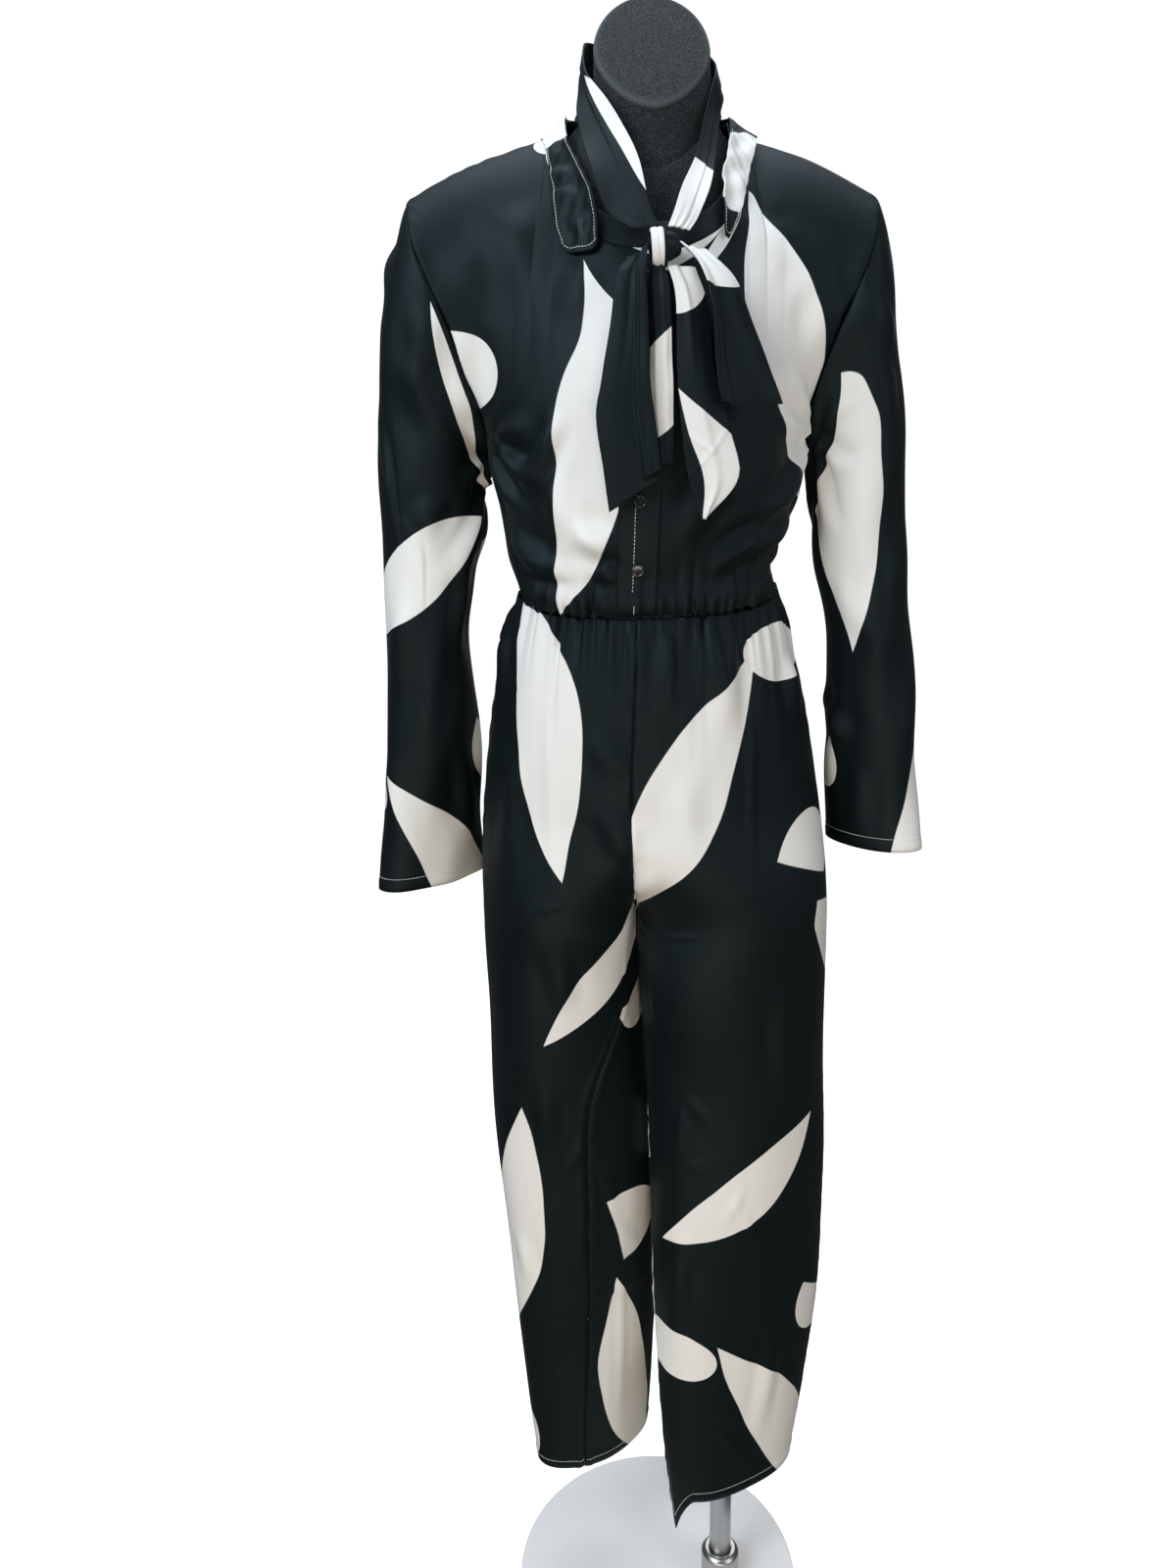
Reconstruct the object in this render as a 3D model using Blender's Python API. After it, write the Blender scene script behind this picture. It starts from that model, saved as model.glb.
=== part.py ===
"""A long-sleeved one-piece jumpsuit with a tied neck, worn by a limbless dress form on a stand.

Units are metres and +Z is up. The origin is the centre of the base plate's underside, and
the front of the garment faces -Y. "Right" and "left" are the wearer's: right is -X, left is +X.

Every cloth panel is a wall of one thickness on a surface that a function of two numbers gives,
each from 0 to 1: one runs across the panel and one runs along it. Panels that share a seam
share that function, so their edges follow each other a seam's gap apart.
"""

import math

import bmesh
import bpy
import numpy as np
from mathutils import Matrix, Vector

# ---- driving dimensions ----

CLOTH = 0.0012  # thickness of a single layer of cloth
SEAM_GAP = 0.0003  # clearance between two pieces that are sewn together
LAID_GAP = 0.0007  # clearance under a piece that lies on another

RIGHT, LEFT = -1, 1  # wearer's sides, as the sign of x
FRONT, BACK = -1, 1  # faces of the garment, as the sign of y

WAIST_HEIGHT = 1.185  # middle of the elastic waist at the side seams
WAIST_TILT = 0.10  # rise of the waist for each metre towards the back
CASING_HEIGHT = 0.009

SHOULDER = {RIGHT: (-0.211, 1.530), LEFT: (0.197, 1.527)}  # sleeve seam at the top: x, height
NECK_SIDE = {RIGHT: (-0.084, 1.580), LEFT: (0.084, 1.574)}  # neck end of the shoulder seam
UNDERARM = {RIGHT: (-0.150, 1.300), LEFT: (0.141, 1.302)}  # lowest point of the armhole
ARMHOLE_HALF_WIDTH = {FRONT: 0.060, BACK: 0.056}
NECK_DEPTH = {FRONT: 0.098, BACK: 0.052}  # how far the neckline reaches to front and back
NECK_CENTRE = {FRONT: 1.474, BACK: 1.572}  # height of the neckline at the centre
CHEST_CENTRE = {FRONT: 1.370, BACK: 1.410}  # height where the centre line starts to lean in
SHOULDER_SHARE = 0.5  # part of a bodice panel's width that ends on the shoulder seam
CHEST_SHARE = 0.42  # part of a bodice panel's length that lies below the underarm

CROTCH_HEIGHT = 0.868
CROTCH_X = -0.018
FORK_SHARE = 0.62  # part of the rise above which the centre seam still runs straight down
RISE_SHARE = 0.34  # part of a trouser panel's length that lies above the crotch

FORM_CENTRE_X = -0.003
NECK_BASE = (0.058, 1.592)  # side of the neck's foot: x, height
NECK_BASE_DEPTH = {FRONT: -0.062, BACK: 0.036}
NECK_BASE_HEIGHT = {FRONT: 1.540, BACK: 1.588}
NECK_HALF_WIDTH = 0.0495
NECK_HALF_DEPTH = 0.045
NECK_CENTRE_Y = -0.015
CAP_TILT = math.radians(50.7)  # slope of the neck's cut, rising to the back
CAP_CENTRE_HEIGHT = 1.639
CAP_THICKNESS = 0.007
FORM_SHOULDER_X = 0.184

POLE_X, POLE_Y = 0.075, -0.013
POLE_RADIUS = 0.0125
FLANGE_RADIUS, FLANGE_THICKNESS = 0.028, 0.005
SOCKET_RADIUS, SOCKET_HEIGHT = 0.022, 0.040
BASE_RADIUS, BASE_THICKNESS = 0.165, 0.008

PLACKET_WIDTH = 0.036
PLACKET_RANGE = (1.189, 1.455)  # heights of its ends
BUTTON_RADIUS, BUTTON_THICKNESS = 0.006, 0.0024
BUTTON_HEIGHTS = (1.215, 1.272, 1.330, 1.388)
BAND_HEIGHT = 0.020
BAND_LEAN = 0.10  # part by which the band's upper edge is narrower than the neckline

# ---- sections of the cloth, a row for each section, from the top or the waist on ----

# rise above the waist, right reach, left reach, centre x, front depth, back depth
BODICE_ROWS = np.array(
    [
        (0.000, 0.1335, 0.1270, -0.0185, 0.0990, 0.0850),
        (0.028, 0.1390, 0.1225, -0.0170, 0.1090, 0.0990),
        (0.058, 0.1400, 0.1330, -0.0160, 0.1170, 0.1090),
        (0.083, 0.1420, 0.1405, -0.0140, 0.1185, 0.1110),
        (0.115, 0.1500, 0.1410, -0.0120, 0.1180, 0.1080),
    ]
)

# part of the drop from waist to crotch, right reach, left reach, centre x, front depth, back depth
RISE_ROWS = np.array(
    [
        (0.00, 0.1335, 0.1270, -0.0185, 0.0990, 0.0850),
        (0.10, 0.1450, 0.1375, -0.0200, 0.1060, 0.0990),
        (0.25, 0.1550, 0.1495, -0.0225, 0.1080, 0.1130),
        (0.45, 0.1630, 0.1600, -0.0245, 0.1080, 0.1210),
        (0.70, 0.1690, 0.1690, -0.0245, 0.1060, 0.1190),
        (0.86, 0.1710, 0.1745, -0.0220, 0.1030, 0.1140),
        (1.00, 0.1715, 0.1770, CROTCH_X, 0.0980, 0.1070),
    ]
)

# height, outer x, inner x, middle y, turn of the section (slope of y over x), front depth,
# back depth, turn of the side seam and of the inseam round the leg (degrees)
LEG_ROWS = {
    RIGHT: np.array(
        [
            (0.868, -0.1715, -0.0180, 0.000, 0.00, 0.0980, 0.1070, 0, 0),
            (0.790, -0.1720, -0.0175, 0.004, 0.09, 0.0920, 0.0960, 8, 34),
            (0.680, -0.1710, -0.0050, 0.010, 0.20, 0.0800, 0.0830, 20, 76),
            (0.540, -0.1660, 0.0045, 0.012, 0.26, 0.0680, 0.0690, 28, 86),
            (0.390, -0.1560, 0.0030, 0.014, 0.32, 0.0580, 0.0560, 32, 90),
            (0.270, -0.1465, -0.0035, 0.016, 0.36, 0.0500, 0.0470, 34, 95),
            (0.190, -0.1400, -0.0090, 0.018, 0.38, 0.0460, 0.0420, 35, 98),
        ]
    ),
    LEFT: np.array(
        [
            (0.868, 0.1770, -0.0180, 0.000, 0.00, 0.0980, 0.1070, 0, 0),
            (0.790, 0.1790, -0.0140, -0.003, 0.08, 0.0880, 0.0950, 0, 0),
            (0.680, 0.1830, -0.0070, -0.006, 0.15, 0.0740, 0.0810, 0, 0),
            (0.540, 0.1865, -0.0030, -0.010, 0.22, 0.0620, 0.0690, 0, 0),
            (0.390, 0.1835, 0.0000, -0.014, 0.30, 0.0520, 0.0590, 0, 0),
            (0.270, 0.1715, 0.0040, -0.018, 0.38, 0.0450, 0.0530, 0, 0),
            (0.178, 0.1590, 0.0140, -0.020, 0.42, 0.0410, 0.0490, 0, 0),
        ]
    ),
}
HEM_TIP_DROP = {RIGHT: 0.0, LEFT: 0.048}  # how far a point of the hem hangs below the rest
HEM_TIP_ANGLE = 160.0  # where it hangs, in degrees round the leg from the outer side
HEM_TIP_WIDTH = 30.0
HEM_TIP_SHARE = 0.25  # part of the leg's length, from the hem up, that the point pulls down

# height, outer x, inner x, middle y, turn of the section, front depth, back depth
SLEEVE_ROWS = {
    RIGHT: np.array(
        [
            (1.245, -0.2515, -0.1560, 0.000, 0.10, 0.0470, 0.0470),
            (1.190, -0.2530, -0.1690, 0.000, 0.15, 0.0480, 0.0470),
            (1.140, -0.2555, -0.1775, 0.001, 0.20, 0.0480, 0.0470),
            (1.060, -0.2595, -0.1715, 0.003, 0.35, 0.0430, 0.0430),
            (0.975, -0.2670, -0.1740, 0.008, 0.50, 0.0370, 0.0390),
            (0.897, -0.2735, -0.1770, 0.012, 0.62, 0.0340, 0.0360),
        ]
    ),
    LEFT: np.array(
        [
            (1.250, 0.2390, 0.1540, 0.000, 0.00, 0.0470, 0.0470),
            (1.200, 0.2440, 0.1570, 0.000, -0.05, 0.0470, 0.0470),
            (1.140, 0.2495, 0.1720, 0.001, -0.10, 0.0480, 0.0470),
            (1.070, 0.2565, 0.1765, 0.003, -0.20, 0.0450, 0.0440),
            (1.000, 0.2635, 0.1785, 0.006, -0.30, 0.0420, 0.0410),
            (0.927, 0.2705, 0.1830, 0.008, -0.40, 0.0400, 0.0400),
        ]
    ),
}
CAP_SHARE = 0.40  # part of a sleeve's length in the rounded cap, above the straight tube
CAP_LEAN = (0.50, -0.86)  # direction in which the sleeve leaves the armhole: out, down

# ---- dress form: a row for each section, from the bottom up ----

# height, half width, front depth, back depth
FORM_ROWS = np.array(
    [
        (0.9200, 0.098, 0.058, 0.064),
        (0.9240, 0.110, 0.068, 0.073),
        (0.9420, 0.122, 0.079, 0.084),
        (0.9750, 0.133, 0.088, 0.095),
        (1.0300, 0.139, 0.091, 0.101),
        (1.1050, 0.131, 0.089, 0.094),
        (1.1800, 0.117, 0.084, 0.074),
        (1.2350, 0.116, 0.090, 0.080),
        (1.2800, 0.124, 0.101, 0.092),
        (1.3150, 0.129, 0.106, 0.097),
    ]
)

# ---- collar and tie: an edge to each side of a strip, as x, y and height ----
# inner edge x, y, height, outer edge x, y, height; from the centre back to the front
COLLAR_ROWS = {
    RIGHT: np.array(
        [
            (-0.0003, 0.0492, 1.5940, -0.0003, 0.0670, 1.5660),
            (-0.0305, 0.0458, 1.5960, -0.0370, 0.0620, 1.5690),
            (-0.0547, 0.0352, 1.5985, -0.0680, 0.0490, 1.5740),
            (-0.0748, 0.0125, 1.6010, -0.0950, 0.0150, 1.5825),
            (-0.0774, -0.0010, 1.6000, -0.0960, -0.0020, 1.5830),
            (-0.0772, -0.0235, 1.5830, -0.0920, -0.0230, 1.5720),
            (-0.0745, -0.0390, 1.5690, -0.0875, -0.0340, 1.5580),
            (-0.0640, -0.0610, 1.5460, -0.0845, -0.0460, 1.5420),
            (-0.0550, -0.0785, 1.5230, -0.0825, -0.0600, 1.5220),
            (-0.0515, -0.0900, 1.5000, -0.0795, -0.0740, 1.4980),
            (-0.0495, -0.0970, 1.4740, -0.0720, -0.0870, 1.4750),
        ]
    ),
    LEFT: np.array(
        [
            (0.0003, 0.0492, 1.5940, 0.0003, 0.0670, 1.5660),
            (0.0305, 0.0458, 1.5955, 0.0370, 0.0620, 1.5690),
            (0.0547, 0.0352, 1.5975, 0.0680, 0.0490, 1.5740),
            (0.0748, 0.0125, 1.5965, 0.0950, 0.0150, 1.5795),
            (0.0774, -0.0010, 1.5955, 0.0960, -0.0020, 1.5800),
            (0.0772, -0.0235, 1.5785, 0.0925, -0.0220, 1.5720),
            (0.0745, -0.0390, 1.5655, 0.0890, -0.0330, 1.5600),
            (0.0705, -0.0545, 1.5490, 0.0835, -0.0440, 1.5420),
            (0.0660, -0.0670, 1.5330, 0.0775, -0.0630, 1.5200),
            (0.0635, -0.0790, 1.5100, 0.0700, -0.0760, 1.5000),
            (0.0630, -0.0850, 1.4900, 0.0645, -0.0850, 1.4870),
        ]
    ),
}

# one edge x, y, height, other edge x, y, height; from the knot up the right side, behind the
# neck and down the left side
TIE_NECK_ROWS = np.array(
    [
        (-0.0190, -0.1180, 1.4830, 0.0030, -0.1190, 1.4851),
        (-0.0390, -0.1090, 1.5000, -0.0050, -0.1120, 1.5020),
        (-0.0520, -0.0900, 1.5370, -0.0120, -0.0960, 1.5370),
        (-0.0600, -0.0640, 1.5700, -0.0230, -0.0790, 1.5660),
        (-0.0620, -0.0420, 1.5950, -0.0370, -0.0640, 1.5920),
        (-0.0600, -0.0150, 1.6200, -0.0530, -0.0270, 1.6240),
        (-0.0560, 0.0120, 1.6260, -0.0530, 0.0080, 1.6540),
        (-0.0330, 0.0420, 1.6270, -0.0330, 0.0350, 1.6600),
        (0.0000, 0.0520, 1.6270, 0.0000, 0.0450, 1.6610),
        (0.0340, 0.0420, 1.6250, 0.0340, 0.0350, 1.6580),
        (0.0560, 0.0120, 1.6180, 0.0550, 0.0060, 1.6420),
        (0.0620, -0.0170, 1.6050, 0.0530, -0.0290, 1.6180),
        (0.0580, -0.0420, 1.5810, 0.0440, -0.0520, 1.5820),
        (0.0530, -0.0670, 1.5490, 0.0370, -0.0740, 1.5500),
        (0.0460, -0.0890, 1.5210, 0.0240, -0.0940, 1.5230),
        (0.0350, -0.1060, 1.4950, 0.0140, -0.1130, 1.4970),
        (0.0270, -0.1160, 1.4830, 0.0090, -0.1190, 1.4851),
    ]
)

KNOT_CENTRE = (0.0060, -0.1185, 1.4700)
KNOT_HALF = (0.0125, 0.0105, 0.0135)

# right edge x, y, height, left edge x, y, height; from the knot down
TIE_HANGING_ROWS = {
    "tie_tail_right": np.array(
        [
            (-0.0240, -0.1200, 1.4640, -0.0069, -0.1200, 1.4700),
            (-0.0330, -0.1290, 1.4480, -0.0100, -0.1310, 1.4500),
            (-0.0390, -0.1320, 1.4110, -0.0085, -0.1350, 1.4110),
            (-0.0460, -0.1320, 1.3700, -0.0075, -0.1350, 1.3700),
            (-0.0510, -0.1310, 1.3410, -0.0040, -0.1340, 1.3410),
            (-0.0460, -0.1310, 1.3000, -0.0005, -0.1330, 1.3100),
            (-0.0415, -0.1300, 1.2640, 0.0010, -0.1310, 1.2900),
        ]
    ),
    "tie_loop_right": np.array(
        [
            (-0.0060, -0.1200, 1.4561, 0.0070, -0.1200, 1.4561),
            (-0.0075, -0.1270, 1.4380, 0.0100, -0.1270, 1.4380),
            (-0.0070, -0.1285, 1.4000, 0.0116, -0.1285, 1.4000),
            (-0.0060, -0.1285, 1.3500, 0.0128, -0.1285, 1.3500),
            (-0.0010, -0.1270, 1.3010, 0.0126, -0.1270, 1.3010),
        ]
    ),
    "tie_tail_left": np.array(
        [
            (0.0090, -0.1190, 1.4560, 0.0310, -0.1190, 1.4540),
            (0.0148, -0.1250, 1.4300, 0.0410, -0.1230, 1.4250),
            (0.0155, -0.1270, 1.3750, 0.0470, -0.1250, 1.3730),
            (0.0195, -0.1280, 1.3280, 0.0600, -0.1250, 1.3280),
            (0.0250, -0.1290, 1.2900, 0.0670, -0.1260, 1.2900),
            (0.0360, -0.1290, 1.2570, 0.0400, -0.1285, 1.2570),
        ]
    ),
    "tie_loop_left": np.array(
        [
            (0.0189, -0.1195, 1.4700, 0.0385, -0.1180, 1.4660),
            (0.0340, -0.1320, 1.4490, 0.0600, -0.1210, 1.4480),
            (0.0420, -0.1335, 1.4240, 0.0730, -0.1210, 1.4240),
            (0.0447, -0.1330, 1.3870, 0.0880, -0.1210, 1.3870),
            (0.0490, -0.1320, 1.3590, 0.0990, -0.1220, 1.3590),
            (0.0540, -0.1310, 1.3460, 0.1030, -0.1220, 1.3480),
        ]
    ),
}

# ---- grid of the panels: faces across and along ----

BODICE_ACROSS, BODICE_BELOW, BODICE_ABOVE = 8, 5, 8
TROUSER_ACROSS, RISE_ALONG, LEG_ALONG = 8, 9, 11
SLEEVE_CAP, SLEEVE_TUBE = 5, 8

INK = (0.012, 0.014, 0.018)
IVORY = (0.74, 0.73, 0.68)
FLOCK = (0.020, 0.021, 0.023)
STEEL = (0.60, 0.60, 0.59)


# ---- small tools ----


def read_rows(table, where):
    """Every column of a table at places from 0 (first row) to 1 (last row), on a smooth curve."""
    rows = np.vstack([2 * table[0] - table[1], table, 2 * table[-1] - table[-2]])
    at = np.clip(where, 0, 1) * (len(table) - 1)
    first = np.minimum(at.astype(int), len(table) - 2)
    u = (at - first)[..., None]
    a, b, c, d = (rows[first + k] for k in range(4))
    return b + 0.5 * u * (c - a + u * (2 * a - 5 * b + 4 * c - d + u * (3 * (b - c) + d - a)))


def read_columns(table, where):
    """The columns of read_rows as separate arrays."""
    return np.moveaxis(read_rows(table, where), -1, 0)


def signed_power(value, power):
    return np.sign(value) * np.abs(value) ** power


def mix(a, b, share):
    return a + (b - a) * share


def unit(vectors):
    return vectors / np.maximum(np.linalg.norm(vectors, axis=-1, keepdims=True), 1e-12)


def new_material(name, colour, roughness, metallic=0.0):
    material = bpy.data.materials.new(name)
    material.use_nodes = True
    shader = material.node_tree.nodes["Principled BSDF"]
    shader.inputs["Base Color"].default_value = (*colour, 1.0)
    shader.inputs["Roughness"].default_value = roughness
    shader.inputs["Metallic"].default_value = metallic
    return material


def finish(name, bm, look, smooth=True):
    """Turns a bmesh into a named object of the jumpsuit's collection with its own material."""
    bmesh.ops.recalc_face_normals(bm, faces=bm.faces)
    mesh = bpy.data.meshes.new(name)
    bm.to_mesh(mesh)
    bm.free()
    mesh.materials.append(new_material(name + "_finish", *look))
    if smooth:
        mesh.shade_smooth()
        mesh.set_sharp_from_angle(angle=math.radians(40))
    ob = bpy.data.objects.new(name, mesh)
    collection.objects.link(ob)
    return ob


def surface_normals(surface, across, along):
    """Unit normals of a surface function, from small steps that stay inside its square."""
    step = 1e-4
    a0, a1 = np.clip(across - step, 0, 1), np.clip(across + step, 0, 1)
    b0, b1 = np.clip(along - step, 0, 1), np.clip(along + step, 0, 1)
    sideways = surface(a1, along) - surface(a0, along)
    onwards = surface(across, b1) - surface(across, b0)
    return unit(np.cross(sideways, onwards))


def part_seams(points, normals, seams):
    """Moves the edges named in seams half a seam gap along their axis, away from the next piece.

    The normals there are turned square to the axis, so the wall's inner skin stays on its side.
    An axis is one vector for the edge, a vector for each point, or None for the grid's direction.
    """
    points, normals = points.copy(), normals.copy()
    edges = {
        "start": (np.s_[0, :], np.s_[1, :]),
        "end": (np.s_[-1, :], np.s_[-2, :]),
        "low": (np.s_[:, 0], np.s_[:, 1]),
        "high": (np.s_[:, -1], np.s_[:, -2]),
    }
    for name, axis in seams.items():
        edge, inner = edges[name]
        if axis is None:
            points[edge] += SEAM_GAP / 2 * unit(points[inner] - points[edge])
            continue
        axis = np.broadcast_to(np.asarray(axis, float), points[edge].shape)
        held = np.linalg.norm(axis, axis=-1, keepdims=True) > 0
        points[edge] += SEAM_GAP / 2 * axis
        square = normals[edge] - (normals[edge] * unit(axis)).sum(-1, keepdims=True) * unit(axis)
        normals[edge] = np.where(held, unit(square), normals[edge])
    return points, normals


def skins_to_bmesh(outer, inner, tube=False):
    """One closed solid between two matching grids of points, joined by a rim all round.

    Each four-sided cell is split along its shorter diagonal, the same one on both skins, so the
    two skins never cross where a cell is twisted.
    """
    rows, columns = outer.shape[:2]
    bm = bmesh.new()
    out, inn = ([[bm.verts.new(p) for p in row] for row in skin] for skin in (outer, inner))
    last = columns if tube else columns - 1
    for i in range(rows - 1):
        for j in range(last):
            k = (j + 1) % columns
            corners = [(i, j), (i + 1, j), (i + 1, k), (i, k)]
            falling = np.linalg.norm(outer[i, j] - outer[i + 1, k])
            rising = np.linalg.norm(outer[i + 1, j] - outer[i, k])
            if rising < falling:
                corners = corners[1:] + corners[:1]
            for a, b, c in (corners[:3], [corners[0], *corners[2:]]):
                bm.faces.new([out[row][column] for row, column in (a, b, c)])
                bm.faces.new([inn[row][column] for row, column in (c, b, a)])
    for i in (0, rows - 1):
        for j in range(last):
            k = (j + 1) % columns
            bm.faces.new((out[i][j], out[i][k], inn[i][k], inn[i][j]))
    if not tube:
        for j in (0, columns - 1):
            for i in range(rows - 1):
                bm.faces.new((out[i][j], out[i + 1][j], inn[i + 1][j], inn[i][j]))
    return bm


def cloth_wall(
    name, surface, across, along, colour, seams=None, tube=False, thickness=CLOTH, facing=None
):
    """A panel: its outer skin on the surface, its inner skin one thickness behind it.

    The outer skin looks away from the panel's middle, or along facing where that is given.
    """
    grid_across, grid_along = np.meshgrid(across, along, indexing="ij")
    points = surface(grid_across, grid_along)
    normals = surface_normals(surface, grid_across, grid_along)
    middle = points.reshape(-1, 3).mean(axis=0)
    away = points - middle if facing is None else np.asarray(facing, float)
    if (normals * away).sum() < 0:
        normals = -normals
    points, normals = part_seams(points, normals, seams or {})
    if tube:
        points, normals = points[:-1], normals[:-1]
    outer = points.swapaxes(0, 1)
    inner = (points - normals * thickness).swapaxes(0, 1)
    return finish(name, skins_to_bmesh(outer, inner, tube), (colour, 0.5))


# ---- bodice ----


def waist_height(y):
    return WAIST_HEIGHT + WAIST_TILT * y


def armhole(side, face, rise):
    """The armhole's edge: round at the shoulder, narrowing to the underarm, and leaning out."""
    low_x, low_z = UNDERARM[side]
    top_x, top_z = SHOULDER[side]
    lean = (1 - np.cos(np.pi * rise**1.2)) / 2
    x = mix(low_x, top_x, lean)
    y = face * ARMHOLE_HALF_WIDTH[face] * 2.6 * rise * np.sqrt(np.clip(1 - rise, 0, 1))
    return np.stack([x, y, mix(low_z, top_z, rise)], -1)


def neckline(side, face, turn):
    """The neckline from the shoulder seam (turn 0) to the centre (turn 1).

    The back is an oval that dips evenly; the front is squarer and falls in step with its reach.
    """
    angle = turn * np.pi / 2
    power = 0.75 if face == FRONT else 1.0
    x = NECK_SIDE[side][0] * signed_power(np.cos(angle), power)
    reach = signed_power(np.sin(angle), power)
    y = face * NECK_DEPTH[face] * reach
    fall = reach**1.15 if face == FRONT else reach**2
    return np.stack([x, y, mix(NECK_SIDE[side][1], NECK_CENTRE[face], fall)], -1)


def top_edge(side, face, across):
    """The upper edge of a bodice panel: the shoulder seam, then the neckline."""
    share = np.clip(across / SHOULDER_SHARE, 0, 1)
    (out_x, out_z), (in_x, in_z) = SHOULDER[side], NECK_SIDE[side]
    x = mix(out_x, in_x, share)
    z = mix(out_z, in_z, 1.4 * share - 0.4 * share**2)
    shoulder = np.stack([x, np.zeros_like(x), z], -1)
    turn = np.clip((across - SHOULDER_SHARE) / (1 - SHOULDER_SHARE), 0, 1)
    return np.where(across[..., None] < SHOULDER_SHARE, shoulder, neckline(side, face, turn))


def soft_top_edge(side, face, across):
    """The upper edge with its corner at the neck rounded off, for the cloth lower down."""
    width = np.minimum(0.22, np.minimum(across, 1 - across))
    steps = ((-1.0, 1), (-0.5, 2), (0.0, 2), (0.5, 2), (1.0, 1))
    return sum(w * top_edge(side, face, across + s * width) for s, w in steps) / 8


def bodice_ring(side, face, across, share):
    """A quarter of the bodice's oval section, from the waist (share 0) to the chest (share 1)."""
    rise, right, left, centre, front, back = read_columns(BODICE_ROWS, share)
    reach = -right if side == RIGHT else left
    centre = centre if face == FRONT else 0.0 * centre
    angle = across * np.pi / 2
    x = mix(centre, reach, np.cos(angle) ** 0.95)
    y = face * (front if face == FRONT else back) * np.sin(angle) ** 0.95
    low = waist_height(y) + CASING_HEIGHT / 2 + SEAM_GAP + rise
    lift = (CHEST_CENTRE[face] - BODICE_ROWS[-1][0] - WAIST_HEIGHT) * share**2
    return np.stack([x, y, mix(low, low + lift, np.sin(angle) ** 2)], -1)


def bodice(side, face, across, up):
    """A bodice panel: across from the side seam to the centre, up from waist to shoulder.

    Below the underarm it is the oval section. Above it each column bends over like the quarter
    of an arch, upright at the chest and level at the shoulder seam, and the columns near the
    armhole are drawn forward or back to its edge.
    """
    below = bodice_ring(side, face, across, np.clip(up / CHEST_SHARE, 0, 1))
    chest = bodice_ring(side, face, across, np.ones_like(across))
    top = top_edge(side, face, across)
    part = np.clip((up - CHEST_SHARE) / (1 - CHEST_SHARE), 0, 1)
    ease = np.clip((across - 0.15) / 0.85, 0, 1)
    roundness = 1 - 0.75 * ease**2 * (3 - 2 * ease)
    arch = part * np.pi / 2
    lift = mix(part, np.sin(arch), roundness)
    lean = mix(part, 1 - np.cos(arch), roundness)
    soft = soft_top_edge(side, face, across)
    x = mix(chest[..., 0], soft[..., 0], lift)
    y = mix(chest[..., 1], soft[..., 1], lean)
    z = mix(chest[..., 2], soft[..., 2], lift)
    above = np.stack([x, y, z], -1) + (top - soft) * (part**3)[..., None]
    rise = np.sin(arch)
    edge = armhole(side, face, rise)
    low_x, low_z = UNDERARM[side]
    top_x, top_z = SHOULDER[side]
    plain = np.stack([mix(low_x, top_x, rise), 0 * rise, mix(low_z, top_z, rise)], -1)
    above = above + (edge - plain) * ((1 - across) ** 3)[..., None]
    return np.where((up < CHEST_SHARE)[..., None], below, above)


def bodice_steps():
    below = np.linspace(0, CHEST_SHARE, BODICE_BELOW + 1)
    above = np.linspace(CHEST_SHARE, 1, BODICE_ABOVE + 1)
    return np.concatenate([below, above[1:]])


def whole_width(quarter):
    """Two mirrored quarters as one surface: across runs from one side seam to the other."""

    def surface(across, along):
        right = quarter(RIGHT, np.clip(2 * across, 0, 1), along)
        left = quarter(LEFT, np.clip(2 - 2 * across, 0, 1), along)
        return np.where((across < 0.5)[..., None], right, left)

    return surface


def armhole_axis(side):
    """The direction square to the armhole: outward and a little down."""
    run = SHOULDER[side][1] - UNDERARM[side][1]
    lean = SHOULDER[side][0] - UNDERARM[side][0]
    return unit(np.array([side * run, 0, -abs(lean)]))


def side_axes(side, face, ups):
    """Axes of a bodice panel's outer edge: the side seam, then the armhole above it."""
    seam = np.array([0, face, 0.0])
    return np.where((ups <= CHEST_SHARE)[:, None], seam, -armhole_axis(side))


def build_bodice():
    ups = bodice_steps()
    across = np.linspace(0, 1, BODICE_ACROSS + 1)
    for side, name in ((RIGHT, "bodice_front_right"), (LEFT, "bodice_front_left")):
        on_shoulder = (across <= SHOULDER_SHARE)[:, None]
        cloth_wall(
            name,
            lambda a, u, side=side: bodice(side, FRONT, a, u),
            across,
            ups,
            INK,
            {
                "high": np.where(on_shoulder, (0.0, FRONT, 0.0), (0.0, 0.0, -1.0)),
                "start": side_axes(side, FRONT, ups),
                "end": (side, 0.0, 0.0),
            },
        )
    across = np.linspace(0, 1, 2 * BODICE_ACROSS + 1)
    on_shoulder = (np.abs(across - 0.5) >= SHOULDER_SHARE / 2)[:, None]
    cloth_wall(
        "bodice_back",
        whole_width(lambda side, a, u: bodice(side, BACK, a, u)),
        across,
        ups,
        INK,
        {
            "high": np.where(on_shoulder, (0.0, BACK, 0.0), (0.0, 0.0, -1.0)),
            "start": side_axes(RIGHT, BACK, ups),
            "end": side_axes(LEFT, BACK, ups),
        },
    )


# ---- trousers ----


def leg_section(side, angle, row):
    """Points of a leg's oval: angle 0 is its outer side and 180 degrees is its inner side."""
    outer, inner, middle, slope, front, back = row
    inner = inner + side * SEAM_GAP / 2
    centre = (outer + inner) / 2
    half = (inner - outer) / 2
    x = centre - half * signed_power(np.cos(angle), 0.95)
    depth = np.where(np.sin(angle) > 0, front, back)
    y = middle + slope * (x - centre) - depth * signed_power(np.sin(angle), 0.95)
    return x, y


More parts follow.
